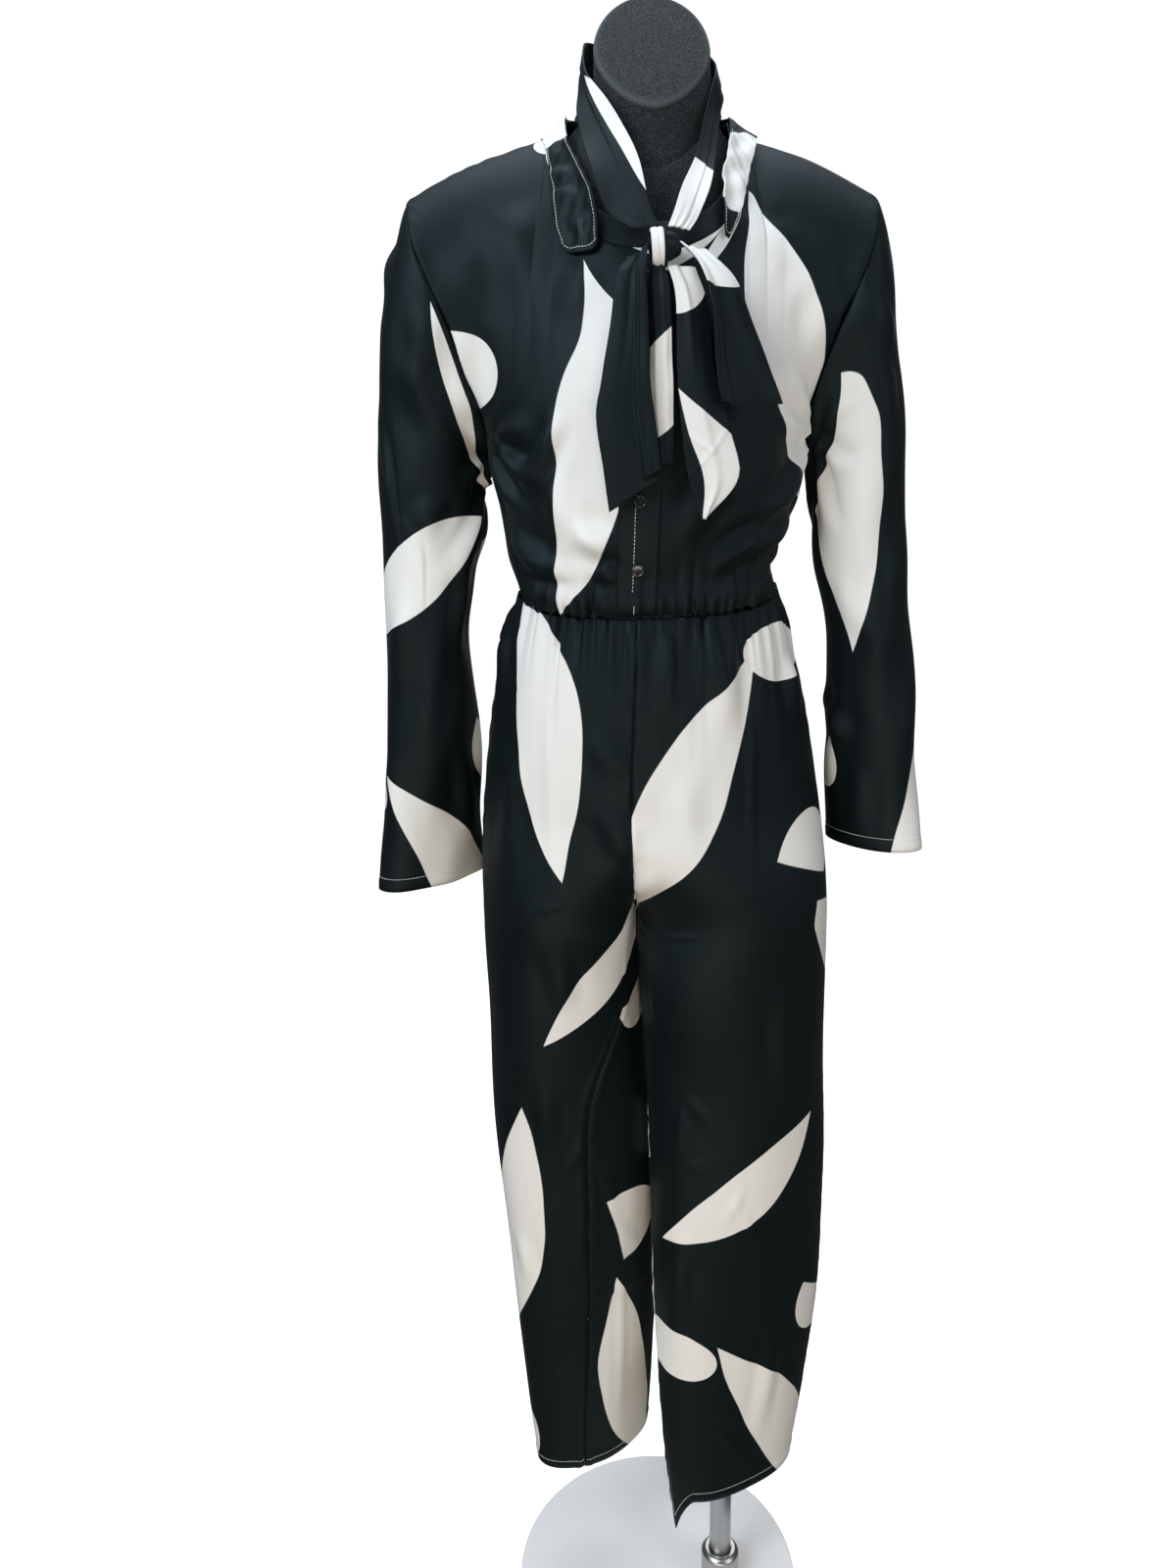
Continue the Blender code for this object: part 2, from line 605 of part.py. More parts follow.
def leg(side, face, across, down):
    """A leg below the crotch, its seams turning round the leg on the way down."""
    columns = read_columns(LEG_ROWS[side], down)
    height, section, side_turn, inseam_turn = columns[0], columns[1:7], *np.radians(columns[7:])
    if face == FRONT:
        angle = mix(-side_turn, np.pi - inseam_turn, across)
    else:
        angle = mix(-side_turn, -np.pi - inseam_turn, across)
    x, y = leg_section(side, angle, section)
    from_tip = np.degrees(np.abs(np.angle(np.exp(1j * (angle - np.radians(HEM_TIP_ANGLE))))))
    pull = np.clip((down - 1 + HEM_TIP_SHARE) / HEM_TIP_SHARE, 0, 1) ** 2
    tip = np.clip(1 - from_tip / HEM_TIP_WIDTH, 0, 1) ** 1.5
    return np.stack([x, y, height - HEM_TIP_DROP[side] * tip * pull], -1)


def rise_section(side, face, across, share):
    """A quarter of the hips, whose inner end curves under the body towards the crotch."""
    drop, right, left, centre, front, back = read_columns(RISE_ROWS, share)
    reach = -right if side == RIGHT else left
    depth = front if face == FRONT else back
    centre = mix(centre, CROTCH_X, 0 if face == FRONT else 0.5) + side * SEAM_GAP / 2
    hook = np.clip((share - FORK_SHARE) / (1 - FORK_SHARE), 0, 1) ** 1.7 * np.pi / 2
    under = signed_power(np.sin(hook), 0.95)
    half = (centre - reach) / (1 + under)
    angle = across * (np.pi / 2 + hook)
    x = reach + half * (1 - signed_power(np.cos(angle), 0.95))
    y = face * depth * signed_power(np.sin(angle), 0.95)
    start = WAIST_HEIGHT - CASING_HEIGHT / 2 - SEAM_GAP
    return np.stack([x, y, mix(start, CROTCH_HEIGHT, share) + WAIST_TILT * y * (1 - share)], -1)


def trouser(side, face, across, down):
    """A trouser panel: across from the side seam to the centre seam, then to the inseam."""
    rise = rise_section(side, face, across, np.clip(down / RISE_SHARE, 0, 1))
    below = leg(side, face, across, np.clip((down - RISE_SHARE) / (1 - RISE_SHARE), 0, 1))
    return np.where((down < RISE_SHARE)[..., None], rise, below)


def trouser_steps():
    rise = np.linspace(0, RISE_SHARE, RISE_ALONG + 1)
    below = np.linspace(RISE_SHARE, 1, LEG_ALONG + 1)
    return np.concatenate([rise, below[1:]])


def centre_axes(side, face, downs):
    """Axes of a trouser panel's inner edge: none on the centre seam, along the leg's oval below."""
    axes = np.zeros((len(downs), 3))
    crotch = int(np.argmin(np.abs(downs - RISE_SHARE)))
    turn = np.radians(read_columns(LEG_ROWS[side], (downs - RISE_SHARE) / (1 - RISE_SHARE))[8])
    axes[crotch:, 0] = -side * face * np.sin(turn[crotch:])
    axes[crotch:, 1] = face * np.cos(turn[crotch:])
    return axes


def build_trousers():
    names = {
        (RIGHT, FRONT): "trouser_front_right",
        (LEFT, FRONT): "trouser_front_left",
        (RIGHT, BACK): "trouser_back_right",
        (LEFT, BACK): "trouser_back_left",
    }
    downs = trouser_steps()
    for (side, face), name in names.items():
        cloth_wall(
            name,
            lambda a, d, side=side, face=face: trouser(side, face, a, d),
            np.linspace(0, 1, TROUSER_ACROSS + 1),
            downs,
            INK,
            {"start": None, "end": centre_axes(side, face, downs)},
        )


def build_casing():
    """The elastic's channel: a low ring between the bodice and the trousers."""

    def surface(around, up):
        side = np.where(around < 0.5, RIGHT, LEFT)
        turn = around * 2 * np.pi
        _, right, left, centre, front, back = BODICE_ROWS[0]
        sine, cosine = np.sin(turn), np.cos(turn)
        middle = np.where(sine < 0, centre, 0.0)
        reach = np.where(cosine < 0, -right, left)
        x = mix(middle, reach, np.abs(cosine) ** 0.95)
        y = np.where(sine < 0, front, back) * signed_power(sine, 0.95)
        z = waist_height(y) + (up - 0.5) * (CASING_HEIGHT - SEAM_GAP)
        return np.stack([x, y, z], -1) + 0 * side[..., None]

    cloth_wall("waist_casing", surface, np.linspace(0, 1, 33), np.array([0.0, 1.0]), INK, {}, True)


# ---- sleeves ----


def armhole_loop(side, around):
    """The whole armhole: 0 at the underarm, up the front to the shoulder at 0.5, down the back."""
    upward = np.minimum(around, 1 - around) * 2
    rise = np.sin(upward * np.pi / 2)
    front = armhole(side, FRONT, rise)
    back = armhole(side, BACK, rise)
    return np.where((around <= 0.5)[..., None], front, back)


def sleeve_section(side, around, share):
    height, outer, inner, middle, slope, front, back = read_columns(SLEEVE_ROWS[side], share)
    centre = (outer + inner) / 2
    half = (inner - outer) / 2
    turn = around * 2 * np.pi
    x = centre + half * np.cos(turn)
    depth = np.where(np.sin(turn) > 0, front, back)
    y = middle + slope * (x - centre) - depth * np.sin(turn)
    return np.stack([x, y, height + 0 * x], -1)


def sleeve(side, around, down):
    """A sleeve: a rounded cap from the armhole to a level section, then the hanging tube."""
    start = armhole_loop(side, around) + armhole_axis(side) * SEAM_GAP
    end = sleeve_section(side, around, np.zeros_like(around))
    span = np.linalg.norm(end - start, axis=-1, keepdims=True)
    u = np.clip(down / CAP_SHARE, 0, 1)[..., None]
    leave = span * np.array([side * CAP_LEAN[0], 0, CAP_LEAN[1]])
    arrive = span * np.array([0, 0, -1.0])
    cap = (
        (2 * u**3 - 3 * u**2 + 1) * start
        + (u**3 - 2 * u**2 + u) * leave
        + (3 * u**2 - 2 * u**3) * end
        + (u**3 - u**2) * arrive
    )
    tube = sleeve_section(side, around, np.clip((down - CAP_SHARE) / (1 - CAP_SHARE), 0, 1))
    return np.where((down < CAP_SHARE)[..., None], cap, tube)


def build_sleeves():
    arounds = np.linspace(0, 1, 2 * BODICE_ABOVE + 1)
    cap = np.linspace(0, CAP_SHARE, SLEEVE_CAP + 1)
    tube = np.linspace(CAP_SHARE, 1, SLEEVE_TUBE + 1)
    downs = np.concatenate([cap, tube[1:]])
    for side, name in ((RIGHT, "sleeve_right"), (LEFT, "sleeve_left")):
        cloth_wall(
            name,
            lambda a, d, side=side: sleeve(side, a, d),
            arounds,
            downs,
            INK,
            {"low": armhole_axis(side)},
            tube=True,
        )


# ---- pieces that lie on the front ----


def front(across, up):
    """Both front panels as one surface, from side seam to side seam."""
    return whole_width(lambda side, a, u: bodice(side, FRONT, a, u))(across, up)


def lay_on_front(x, z, lift):
    """Points above the front's cloth at the given x and height, moved out by the lift."""
    x, z = np.broadcast_arrays(np.asarray(x, float), np.asarray(z, float))
    across = 0.5 + 0.25 * x / 0.10
    up = CHEST_SHARE * (z - 1.19) / 0.15
    up = np.where(up > CHEST_SHARE, CHEST_SHARE + (z - 1.34) / 0.30, up)
    step = 1e-4
    for _ in range(40):
        at = front(across, up)
        sideways = (front(across + step, up) - at) / step
        onwards = (front(across, up + step) - at) / step
        dx, dz = x - at[..., 0], z - at[..., 2]
        det = sideways[..., 0] * onwards[..., 2] - sideways[..., 2] * onwards[..., 0]
        det = np.where(np.abs(det) < 1e-6, 1e-6, det)
        a_step = (dx * onwards[..., 2] - dz * onwards[..., 0]) / det
        u_step = (dz * sideways[..., 0] - dx * sideways[..., 2]) / det
        across = np.clip(across + np.clip(0.6 * a_step, -0.05, 0.05), 0.001, 0.998)
        up = np.clip(up + np.clip(0.6 * u_step, -0.05, 0.05), 0.001, 0.998)
    at = front(across, up)
    normal = unit(np.cross(front(across + step, up) - at, front(across, up + step) - at))
    normal = normal * -np.sign(normal[..., 1:2])
    return at + normal * lift, normal


def placket(across, up):
    """The buttoned strip over the centre front."""
    z = mix(PLACKET_RANGE[0], PLACKET_RANGE[1], up)
    centre = -0.0185 + 0.0105 * (z - 1.185) / 0.27
    x = centre + (across - 0.5) * PLACKET_WIDTH
    points, _ = lay_on_front(x, z, LAID_GAP + CLOTH)
    return points


def build_placket():
    rows = np.linspace(0, 1, 19)
    cloth_wall("front_placket", placket, np.linspace(0, 1, 3), rows, INK, facing=(0, -1, 0))
    for number, height in enumerate(BUTTON_HEIGHTS, 1):
        centre = placket(np.array(0.5), np.array((height - PLACKET_RANGE[0]) / 0.266))
        _, normal = lay_on_front(centre[0], centre[2], 0)
        centre = centre + normal * (LAID_GAP + BUTTON_THICKNESS / 2)
        turned_disc(f"button_{number}", centre, normal, BUTTON_RADIUS, BUTTON_THICKNESS, 16, 0.0006, INK)


def turned_disc(name, centre, axis, radius, thickness, sides, bevel, colour, roughness=0.3):
    """A disc with rounded edges, its flat faces square to an axis."""
    bm = bmesh.new()
    bmesh.ops.create_cone(
        bm, cap_ends=True, segments=sides, radius1=radius, radius2=radius, depth=thickness
    )
    rim = [e for e in bm.edges if abs(e.verts[0].co.z - e.verts[1].co.z) < 1e-9]
    bmesh.ops.bevel(bm, geom=rim, offset=bevel, segments=1, profile=0.5, affect="EDGES")
    turn = Vector((0, 0, 1)).rotation_difference(Vector(axis)).to_matrix().to_4x4()
    bmesh.ops.transform(bm, matrix=Matrix.Translation(Vector(centre)) @ turn, verts=bm.verts)
    return finish(name, bm, (colour, roughness))


# ---- collar ----


def band(around, up):
    """The neckband: from the left front round the back to the right front, standing up."""
    turn = around * 4  # quarters: left front, left back, right back, right front
    left_front = neckline(LEFT, FRONT, 1 - np.clip(turn, 0, 1))
    left_back = neckline(LEFT, BACK, np.clip(turn - 1, 0, 1))
    right_back = neckline(RIGHT, BACK, 1 - np.clip(turn - 2, 0, 1))
    right_front = neckline(RIGHT, FRONT, np.clip(turn - 3, 0, 1))
    choices = [turn < 1, turn < 2, turn < 3]
    parts = [left_front, left_back, right_back]
    foot = np.select([c[..., None] for c in choices], parts, right_front)
    foot = foot + np.array([0, 0, SEAM_GAP])
    inward = np.stack([-foot[..., 0], -foot[..., 1], 0 * turn], -1) * BAND_LEAN
    rise = np.array([0, 0, BAND_HEIGHT])
    return foot + up[..., None] * (inward + rise)


def build_neckband():
    arounds = np.linspace(0, 1, 4 * (BODICE_ACROSS // 2) + 1)
    ends = {"start": None, "end": None, "low": (0, 0, 1)}
    cloth_wall("neckband", band, arounds, np.linspace(0, 1, 3), INK, ends)


def strip(table, bulge):
    """A strip between two edges given by rows, with its middle raised along a direction."""

    def surface(across, along):
        columns = read_rows(table, along)
        one, other = columns[..., :3], columns[..., 3:]
        raised = 4 * across * (1 - across)
        return mix(one, other, across[..., None]) + raised[..., None] * np.asarray(bulge)

    return surface


def build_collar():
    for side, name in ((RIGHT, "collar_right"), (LEFT, "collar_left")):
        surface = strip(COLLAR_ROWS[side], (0, 0, 0))
        cloth_wall(name, surface, np.linspace(0, 1, 3), np.linspace(0, 1, 17), INK)


# ---- tie ----


def build_tie():
    surface = strip(TIE_NECK_ROWS, (0, 0, 0))
    cloth_wall("tie_neck", surface, np.linspace(0, 1, 4), np.linspace(0, 1, 27), INK, thickness=0.0020)
    for name, rows in TIE_HANGING_ROWS.items():
        surface = strip(rows, (0, -0.0015, 0))
        across, along = np.linspace(0, 1, 4), np.linspace(0, 1, 10)
        cloth_wall(name, surface, across, along, INK, thickness=0.0022, facing=(0, -1, 0))
    bm = bmesh.new()
    bmesh.ops.create_cube(bm, size=2)
    bmesh.ops.bevel(bm, geom=bm.edges[:], offset=0.62, segments=4, profile=0.5, affect="EDGES")
    bmesh.ops.scale(bm, vec=KNOT_HALF, verts=bm.verts)
    bmesh.ops.translate(bm, vec=KNOT_CENTRE, verts=bm.verts)
    finish("tie_knot", bm, (INK, 0.5))


# ---- dress form and stand ----


def form_column_top(side, face, across):
    """Where a column of the form ends: on the shoulder's ridge, or at the foot of the neck."""
    share = np.clip(across / SHOULDER_SHARE, 0, 1)
    foot_x, foot_z = NECK_BASE
    x = mix(FORM_SHOULDER_X, foot_x, share)
    (out_x, out_z), (in_x, in_z) = SHOULDER[side], NECK_SIDE[side]
    along = (x - abs(out_x)) / (abs(in_x) - abs(out_x))
    ridge = mix(out_z, in_z, 1.4 * along - 0.4 * along**2) - CLOTH - 0.0006
    towards = np.clip((0.125 - x) / 0.040, 0, 1)
    dip = 0.008 * towards**2 * (3 - 2 * towards)
    near_neck = np.clip((abs(in_x) - x) / (abs(in_x) - foot_x), 0, 1)
    z = mix(ridge - dip, foot_z, near_neck**2)
    z = z - 0.012 * np.clip(1 - share * 6, 0, 1) ** 2
    shoulder = np.stack([side * x, 0 * x, z], -1)
    turn = np.clip((across - SHOULDER_SHARE) / (1 - SHOULDER_SHARE), 0, 1) * np.pi / 2
    x = side * foot_x * np.cos(turn)
    y = NECK_BASE_DEPTH[face] * np.sin(turn)
    z = mix(foot_z, NECK_BASE_HEIGHT[face], np.sin(turn) ** 2)
    neck = np.stack([x, y, z], -1)
    return np.where((across <= SHOULDER_SHARE)[..., None], shoulder, neck)


def form_column(side, face, across, rises):
    """Points of one column of the form, from the bottom to the shoulder or the neck's foot."""
    angle = across * np.pi / 2
    height, wide, front_deep, back_deep = read_columns(FORM_ROWS, np.linspace(0, 1, 16))
    deep = front_deep if face == FRONT else back_deep
    body = [
        (FORM_CENTRE_X + side * wide[k] * math.cos(angle), face * deep[k] * math.sin(angle), height[k])
        for k in range(16)
    ]
    top = form_column_top(side, face, np.array(across))
    chest = np.array(body[-1]) + np.array([0, 0, 0.03 * math.sin(angle) ** 2])
    body[-1] = tuple(chest)
    roundness = 1 - 0.6 * across
    for part in rises:
        arch = part * math.pi / 2
        lift = mix(part, math.sin(arch), roundness)
        lean = mix(part, 1 - math.cos(arch), roundness)
        body.append(tuple(mix(chest, top, np.array([lift, lean, lift]))))
    return body


def neck_cut_height(y):
    return CAP_CENTRE_HEIGHT + math.tan(CAP_TILT) * (y - NECK_CENTRE_Y)


def build_form():
    """One body: a bottom, the trunk's columns up to the shoulders, and the slanted neck."""
    quarter = np.linspace(0, 1, 9)
    rises = np.linspace(0, 1, 9)[1:]
    ring = []  # (side, face, across) once round, counter-clockwise from the wearer's left
    ring += [(LEFT, BACK, a) for a in quarter]
    ring += [(RIGHT, BACK, a) for a in quarter[-2::-1]]
    ring += [(RIGHT, FRONT, a) for a in quarter[1:]]
    ring += [(LEFT, FRONT, a) for a in quarter[-2:0:-1]]
    bm = bmesh.new()
    columns = []
    for side, face, across in ring:
        column = form_column(side, face, float(across), rises)
        if across >= SHOULDER_SHARE:
            turn = (across - SHOULDER_SHARE) / (1 - SHOULDER_SHARE) * math.pi / 2
            x = FORM_CENTRE_X + 0.006 + side * NECK_HALF_WIDTH * math.cos(turn)
            y = NECK_CENTRE_Y + face * NECK_HALF_DEPTH * math.sin(turn)
            foot = np.array(column[-1])
            head = np.array([x, y, neck_cut_height(y)])
            waist = np.array([x, y, mix(foot[2], head[2], 0.35)])
            column += [tuple(mix(foot, waist, 0.5) * (1, 1, 1)), tuple(waist), tuple(head)]
        columns.append([bm.verts.new(p) for p in column])
    for here, after in zip(columns, columns[1:] + columns[:1]):
        for k in range(min(len(here), len(after)) - 1):
            bm.faces.new((here[k], after[k], after[k + 1], here[k + 1]))
    bm.faces.new([column[0] for column in reversed(columns)])
    necks = [column for column in columns if len(column) > 24]
    bm.faces.new([column[-1] for column in necks])
    bmesh.ops.remove_doubles(bm, verts=bm.verts, dist=1e-6)
    finish("form_torso", bm, (FLOCK, 0.95))

    bm = bmesh.new()
    bmesh.ops.create_cone(bm, cap_ends=True, segments=40, radius1=1, radius2=1, depth=CAP_THICKNESS)
    stretch = (NECK_HALF_WIDTH + 0.0006, (NECK_HALF_DEPTH + 0.0006) / math.cos(CAP_TILT), 1)
    bmesh.ops.scale(bm, vec=stretch, verts=bm.verts)
    rim = [e for e in bm.edges if abs(e.verts[0].co.z - e.verts[1].co.z) < 1e-9]
    bmesh.ops.bevel(bm, geom=rim, offset=0.002, segments=2, profile=0.5, affect="EDGES")
    lift = CAP_THICKNESS / 2 + SEAM_GAP
    seat = Vector((FORM_CENTRE_X + 0.006, NECK_CENTRE_Y, CAP_CENTRE_HEIGHT))
    seat += lift * Vector((0, -math.sin(CAP_TILT), math.cos(CAP_TILT)))
    place = Matrix.Translation(seat) @ Matrix.Rotation(CAP_TILT, 4, "X")
    bmesh.ops.transform(bm, matrix=place, verts=bm.verts)
    finish("neck_cap", bm, (FLOCK, 0.95))


def build_stand():
    up = (0, 0, 1)
    bottom = FORM_ROWS[0][0] - SEAM_GAP
    flange = (POLE_X, POLE_Y, bottom - FLANGE_THICKNESS / 2)
    turned_disc("pole_flange", flange, up, FLANGE_RADIUS, FLANGE_THICKNESS, 32, 0.001, STEEL)
    foot = BASE_THICKNESS + SEAM_GAP
    head = bottom - FLANGE_THICKNESS - SEAM_GAP
    pole = (POLE_X, POLE_Y, (foot + head) / 2)
    turned_disc("pole", pole, up, POLE_RADIUS, head - foot, 24, 0.0008, STEEL)
    bm = bmesh.new()
    inner, outer, height = POLE_RADIUS + SEAM_GAP, SOCKET_RADIUS, SOCKET_HEIGHT
    profile = [(inner, foot), (outer, foot), (outer, foot + height - 0.004)]
    profile += [(outer - 0.004, foot + height), (inner, foot + height)]
    sides = 32
    rings = []
    for k in range(sides):
        a = 2 * math.pi * k / sides
        ring = [(POLE_X + r * math.cos(a), POLE_Y + r * math.sin(a), z) for r, z in profile]
        rings.append([bm.verts.new(p) for p in ring])
    for here, after in zip(rings, rings[1:] + rings[:1]):
        for k in range(5):
            n = (k + 1) % 5
            bm.faces.new((here[k], after[k], after[n], here[n]))
    finish("pole_socket", bm, (STEEL, 0.3))
    turned_disc("base_plate", (0, 0, BASE_THICKNESS / 2), up, BASE_RADIUS, BASE_THICKNESS, 64, 0.0025, STEEL)


# ---- build ----

for old in list(bpy.data.objects):
    bpy.data.objects.remove(old, do_unlink=True)
collection = bpy.data.collections.new("jumpsuit_on_dress_form")
bpy.context.scene.collection.children.link(collection)

build_bodice()
build_trousers()
build_casing()
build_sleeves()
build_placket()
build_neckband()
build_collar()
build_tie()
build_form()
build_stand()
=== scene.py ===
# %% [markdown]
# # A jumpsuit on a dress form
# The object is a long-sleeved one-piece garment in thin printed satin, with a shirt collar, a
# buttoned front, a tie knotted at the neck and an elastic waist. It hangs on a limbless dress
# form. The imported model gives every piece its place, and this lesson gives each one its real
# surface: cloth that falls in folds, a print, stitching, turned buttons, flocking and steel.

import math

import bmesh
import bpy
import numpy as np
from mathutils import Matrix, Vector


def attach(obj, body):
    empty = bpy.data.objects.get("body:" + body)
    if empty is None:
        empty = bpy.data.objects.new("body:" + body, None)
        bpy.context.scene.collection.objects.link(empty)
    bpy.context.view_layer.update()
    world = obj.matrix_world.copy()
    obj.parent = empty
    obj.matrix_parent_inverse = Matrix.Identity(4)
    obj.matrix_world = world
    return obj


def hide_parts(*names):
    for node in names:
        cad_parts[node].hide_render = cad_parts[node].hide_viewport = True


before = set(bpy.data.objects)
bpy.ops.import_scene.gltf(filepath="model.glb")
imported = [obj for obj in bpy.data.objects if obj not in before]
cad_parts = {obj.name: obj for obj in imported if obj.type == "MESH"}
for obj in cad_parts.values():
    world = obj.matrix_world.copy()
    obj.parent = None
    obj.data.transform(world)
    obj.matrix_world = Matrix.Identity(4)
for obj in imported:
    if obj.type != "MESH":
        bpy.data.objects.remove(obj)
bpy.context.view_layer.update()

# %% [markdown]
# ## Camera
# A camera is a point, a direction and a lens. This one stands a little above chest height close
# to the garment and looks down at it, which makes the shoulders look wide and the hems small.
# Its three axes are worked out one by one, so the small tilt to one side is easy to see.


# %% Camera
def new_object(name, data):
    """An object in the scene that holds this data."""
    made = bpy.data.objects.new(name, data)
    bpy.context.scene.collection.objects.link(made)
    return made


CAMERA_PLACE = (-0.064, -1.14, 1.30)
PITCH, ROLL = math.radians(-15.0), math.radians(1.2)

forward = np.array([0, math.cos(PITCH), math.sin(PITCH)])
level = np.array([1.0, 0, 0])
upright = np.array([0, -math.sin(PITCH), math.cos(PITCH)])
right_axis = math.cos(ROLL) * level - math.sin(ROLL) * upright
up_axis = math.sin(ROLL) * level + math.cos(ROLL) * upright

camera_data = bpy.data.cameras.new("camera")
camera_data.sensor_fit = "AUTO"
camera_data.sensor_width = 36.0
camera_data.lens = 27.045
camera_data.clip_start = 0.05
camera = new_object("camera", camera_data)
matrix = np.eye(4)
matrix[:3, 0], matrix[:3, 1], matrix[:3, 2] = right_axis, up_axis, -forward
matrix[:3, 3] = CAMERA_PLACE
camera.matrix_world = Matrix(matrix.tolist())
bpy.context.scene.camera = camera
print("lens", round(camera_data.lens, 2), "mm")

# %% [markdown]
# ## Light and floor
# Black satin shows its shape only by what it reflects, so the light is a few large soft panels:
# a strong one high on the wearer's right, a weaker one on the left, one above, one behind and
# a low fill. The surroundings look white but shine weakly, or they would turn the black cloth grey.


# %% Colours and nodes
def linear(code):
    """A colour given as sRGB hex, turned to the linear values that shaders use.

    Each channel c is c / 12.92 below 0.04045, and ((c + 0.055) / 1.055) ** 2.4 above it.
    """
    channels = np.array([int(code[k : k + 2], 16) / 255 for k in (1, 3, 5)])
    low, high = channels / 12.92, ((channels + 0.055) / 1.055) ** 2.4
    return (*np.where(channels <= 0.04045, low, high).tolist(), 1.0)


def add(tree, kind, settings=None, **inputs):
    """Adds a node. Settings are its properties; inputs are values or sockets, by name or number."""
    node = tree.nodes.new("ShaderNode" + kind)
    for name, value in (settings or {}).items():
        setattr(node, name, value)
    for name, value in inputs.items():
        key = int(name[1:]) if name[0] == "i" and name[1:].isdigit() else name.replace("_", " ")
        if isinstance(value, bpy.types.NodeSocket):
            tree.links.new(value, node.inputs[key])
        else:
            node.inputs[key].default_value = value
    return node


def new_finish(name, **inputs):
    """A node material and the inputs of its main shader, by name: material, tree and shader."""
    material = bpy.data.materials.new(name)
    material.use_nodes = True
    shader = material.node_tree.nodes["Principled BSDF"]
    for key, value in inputs.items():
        shader.inputs[key.replace("_", " ")].default_value = value
    return material, material.node_tree, shader


def noise(tree, where, scale, detail=2.0):
    """Cloudy noise from 0 to 1, with its scale in clouds to a metre."""
    return add(tree, "TexNoise", Vector=where, Scale=scale, Detail=detail).outputs[0]


def blend(tree, share, one, other):
    """One colour turning into another by a share. Each is a hex code or a socket."""
    one, other = (linear(c) if isinstance(c, str) else c for c in (one, other))
    return add(tree, "MixRGB", Fac=share, Color1=one, Color2=other).outputs[0]


# %% Studio
def soft_panel(name, place, target, size, power, tint):
    """A large rectangular lamp in watts, turned towards its target."""
    data = bpy.data.lights.new(name, "AREA")
    data.shape = "RECTANGLE"
    data.size, data.size_y = size
    data.energy = power
    data.color = linear(tint)[:3]
    light = new_object(name, data)
    towards = Vector(target) - Vector(place)
    light.rotation_euler = towards.to_track_quat("-Z", "Y").to_euler()
    light.location = place
    return light


soft_panel("panel_right_high", (-1.5, -1.6, 2.5), (0, 0, 1.2), (1.2, 1.2), 53, "#e6f1ff")
soft_panel("panel_left", (1.7, -1.4, 1.7), (0, 0, 1.0), (1.0, 1.8), 15, "#f4f6ff")
soft_panel("panel_low_front", (-0.2, -1.9, 0.30), (0, 0, 0.30), (1.6, 0.5), 19, "#ffeedd")
soft_panel("panel_top", (0.0, 0.1, 2.8), (0, 0, 1.2), (1.4, 1.4), 24, "#e6f1ff")
soft_panel("panel_back", (0.6, 2.2, 1.9), (0, 0, 1.1), (1.6, 1.6), 22, "#ffffff")

world = bpy.data.worlds.new("white_room")
world.use_nodes = True
tree = world.node_tree
tree.nodes.clear()
seen = add(tree, "LightPath").outputs["Is Camera Ray"]
dim = add(tree, "Background", Color=linear("#eceef2"), Strength=0.10)
bright = add(tree, "Background", Color=linear("#ffffff"), Strength=1.0)
choice = add(tree, "MixShader", Fac=seen, i1=dim.outputs[0], i2=bright.outputs[0])
add(tree, "OutputWorld", Surface=choice.outputs[0])
bpy.context.scene.world = world
bpy.context.scene.view_settings.view_transform = "Standard"

# a floor that curves up into a wall far behind, as a photographer's paper roll does
bend = np.linspace(0, np.pi / 2, 25)
sweep_y = np.concatenate([[-5.0], 3.0 + 2.5 * np.sin(bend), [5.5]])
sweep_z = np.concatenate([[0.0], 2.5 - 2.5 * np.cos(bend), [7.0]])
rows = len(sweep_y)
sweep = np.array([(x, y, z) for x in (-9.0, 9.0) for y, z in zip(sweep_y, sweep_z)])
floor_mesh = bpy.data.meshes.new("floor")
floor_mesh.from_pydata(sweep.tolist(), [], [(k, k + rows, k + rows + 1, k + 1) for k in range(rows - 1)])
floor_mesh.shade_smooth()
floor = new_object("floor", floor_mesh)
floor.visible_diffuse = False
floor.visible_glossy = False
paper = {"Base_Color": linear("#f2f2f1"), "Roughness": 0.95}
glow = {"Emission_Color": linear("#ffffff"), "Emission_Strength": 0.90}
floor_mesh.materials.append(new_finish("matt_paper_roll", **paper, **glow)[0])

# %% [markdown]
# ## Tools for surfaces
# Each piece of cloth is a function of two numbers from 0 to 1, one across the piece and one
# along it. The function is worked out on a whole grid at once, and a grid of points is a mesh.
# Lengths measured over the grid give the cloth its own coordinates in metres, which the print
# and the weave follow.


# %% Curves and sections
RIGHT, LEFT = -1, 1
FRONT, BACK = -1, 1
CLOTH, DOUBLED = 0.0012, 0.0014
WIDE_FOLDS, CLOSE_FOLDS = (19, 31, 43, 57), (67, 79, 91)


def read_rows(table, where):
    """Every column of a table at places from 0 to 1, on a Catmull-Rom curve through its rows."""
    table = np.array(table)
    rows = np.vstack([2 * table[0] - table[1], table, 2 * table[-1] - table[-2]])
    at = np.clip(where, 0, 1) * (len(table) - 1)
    first = np.minimum(at.astype(int), len(table) - 2)
    u = (at - first)[..., None]
    a, b, c, d = (rows[first + k] for k in range(4))
    return b + 0.5 * u * (c - a + u * (2 * a - 5 * b + 4 * c - d + u * (3 * (b - c) + d - a)))


def read_columns(table, where):
    """The columns of read_rows as separate arrays."""
    return np.moveaxis(read_rows(table, where), -1, 0)


def mix(a, b, share):
    """a + (b - a) times share."""
    return a + (b - a) * share


def signed_power(value, power):
    """The size of a value raised to a power, with the value's sign kept."""
    return np.sign(value) * np.abs(value) ** power


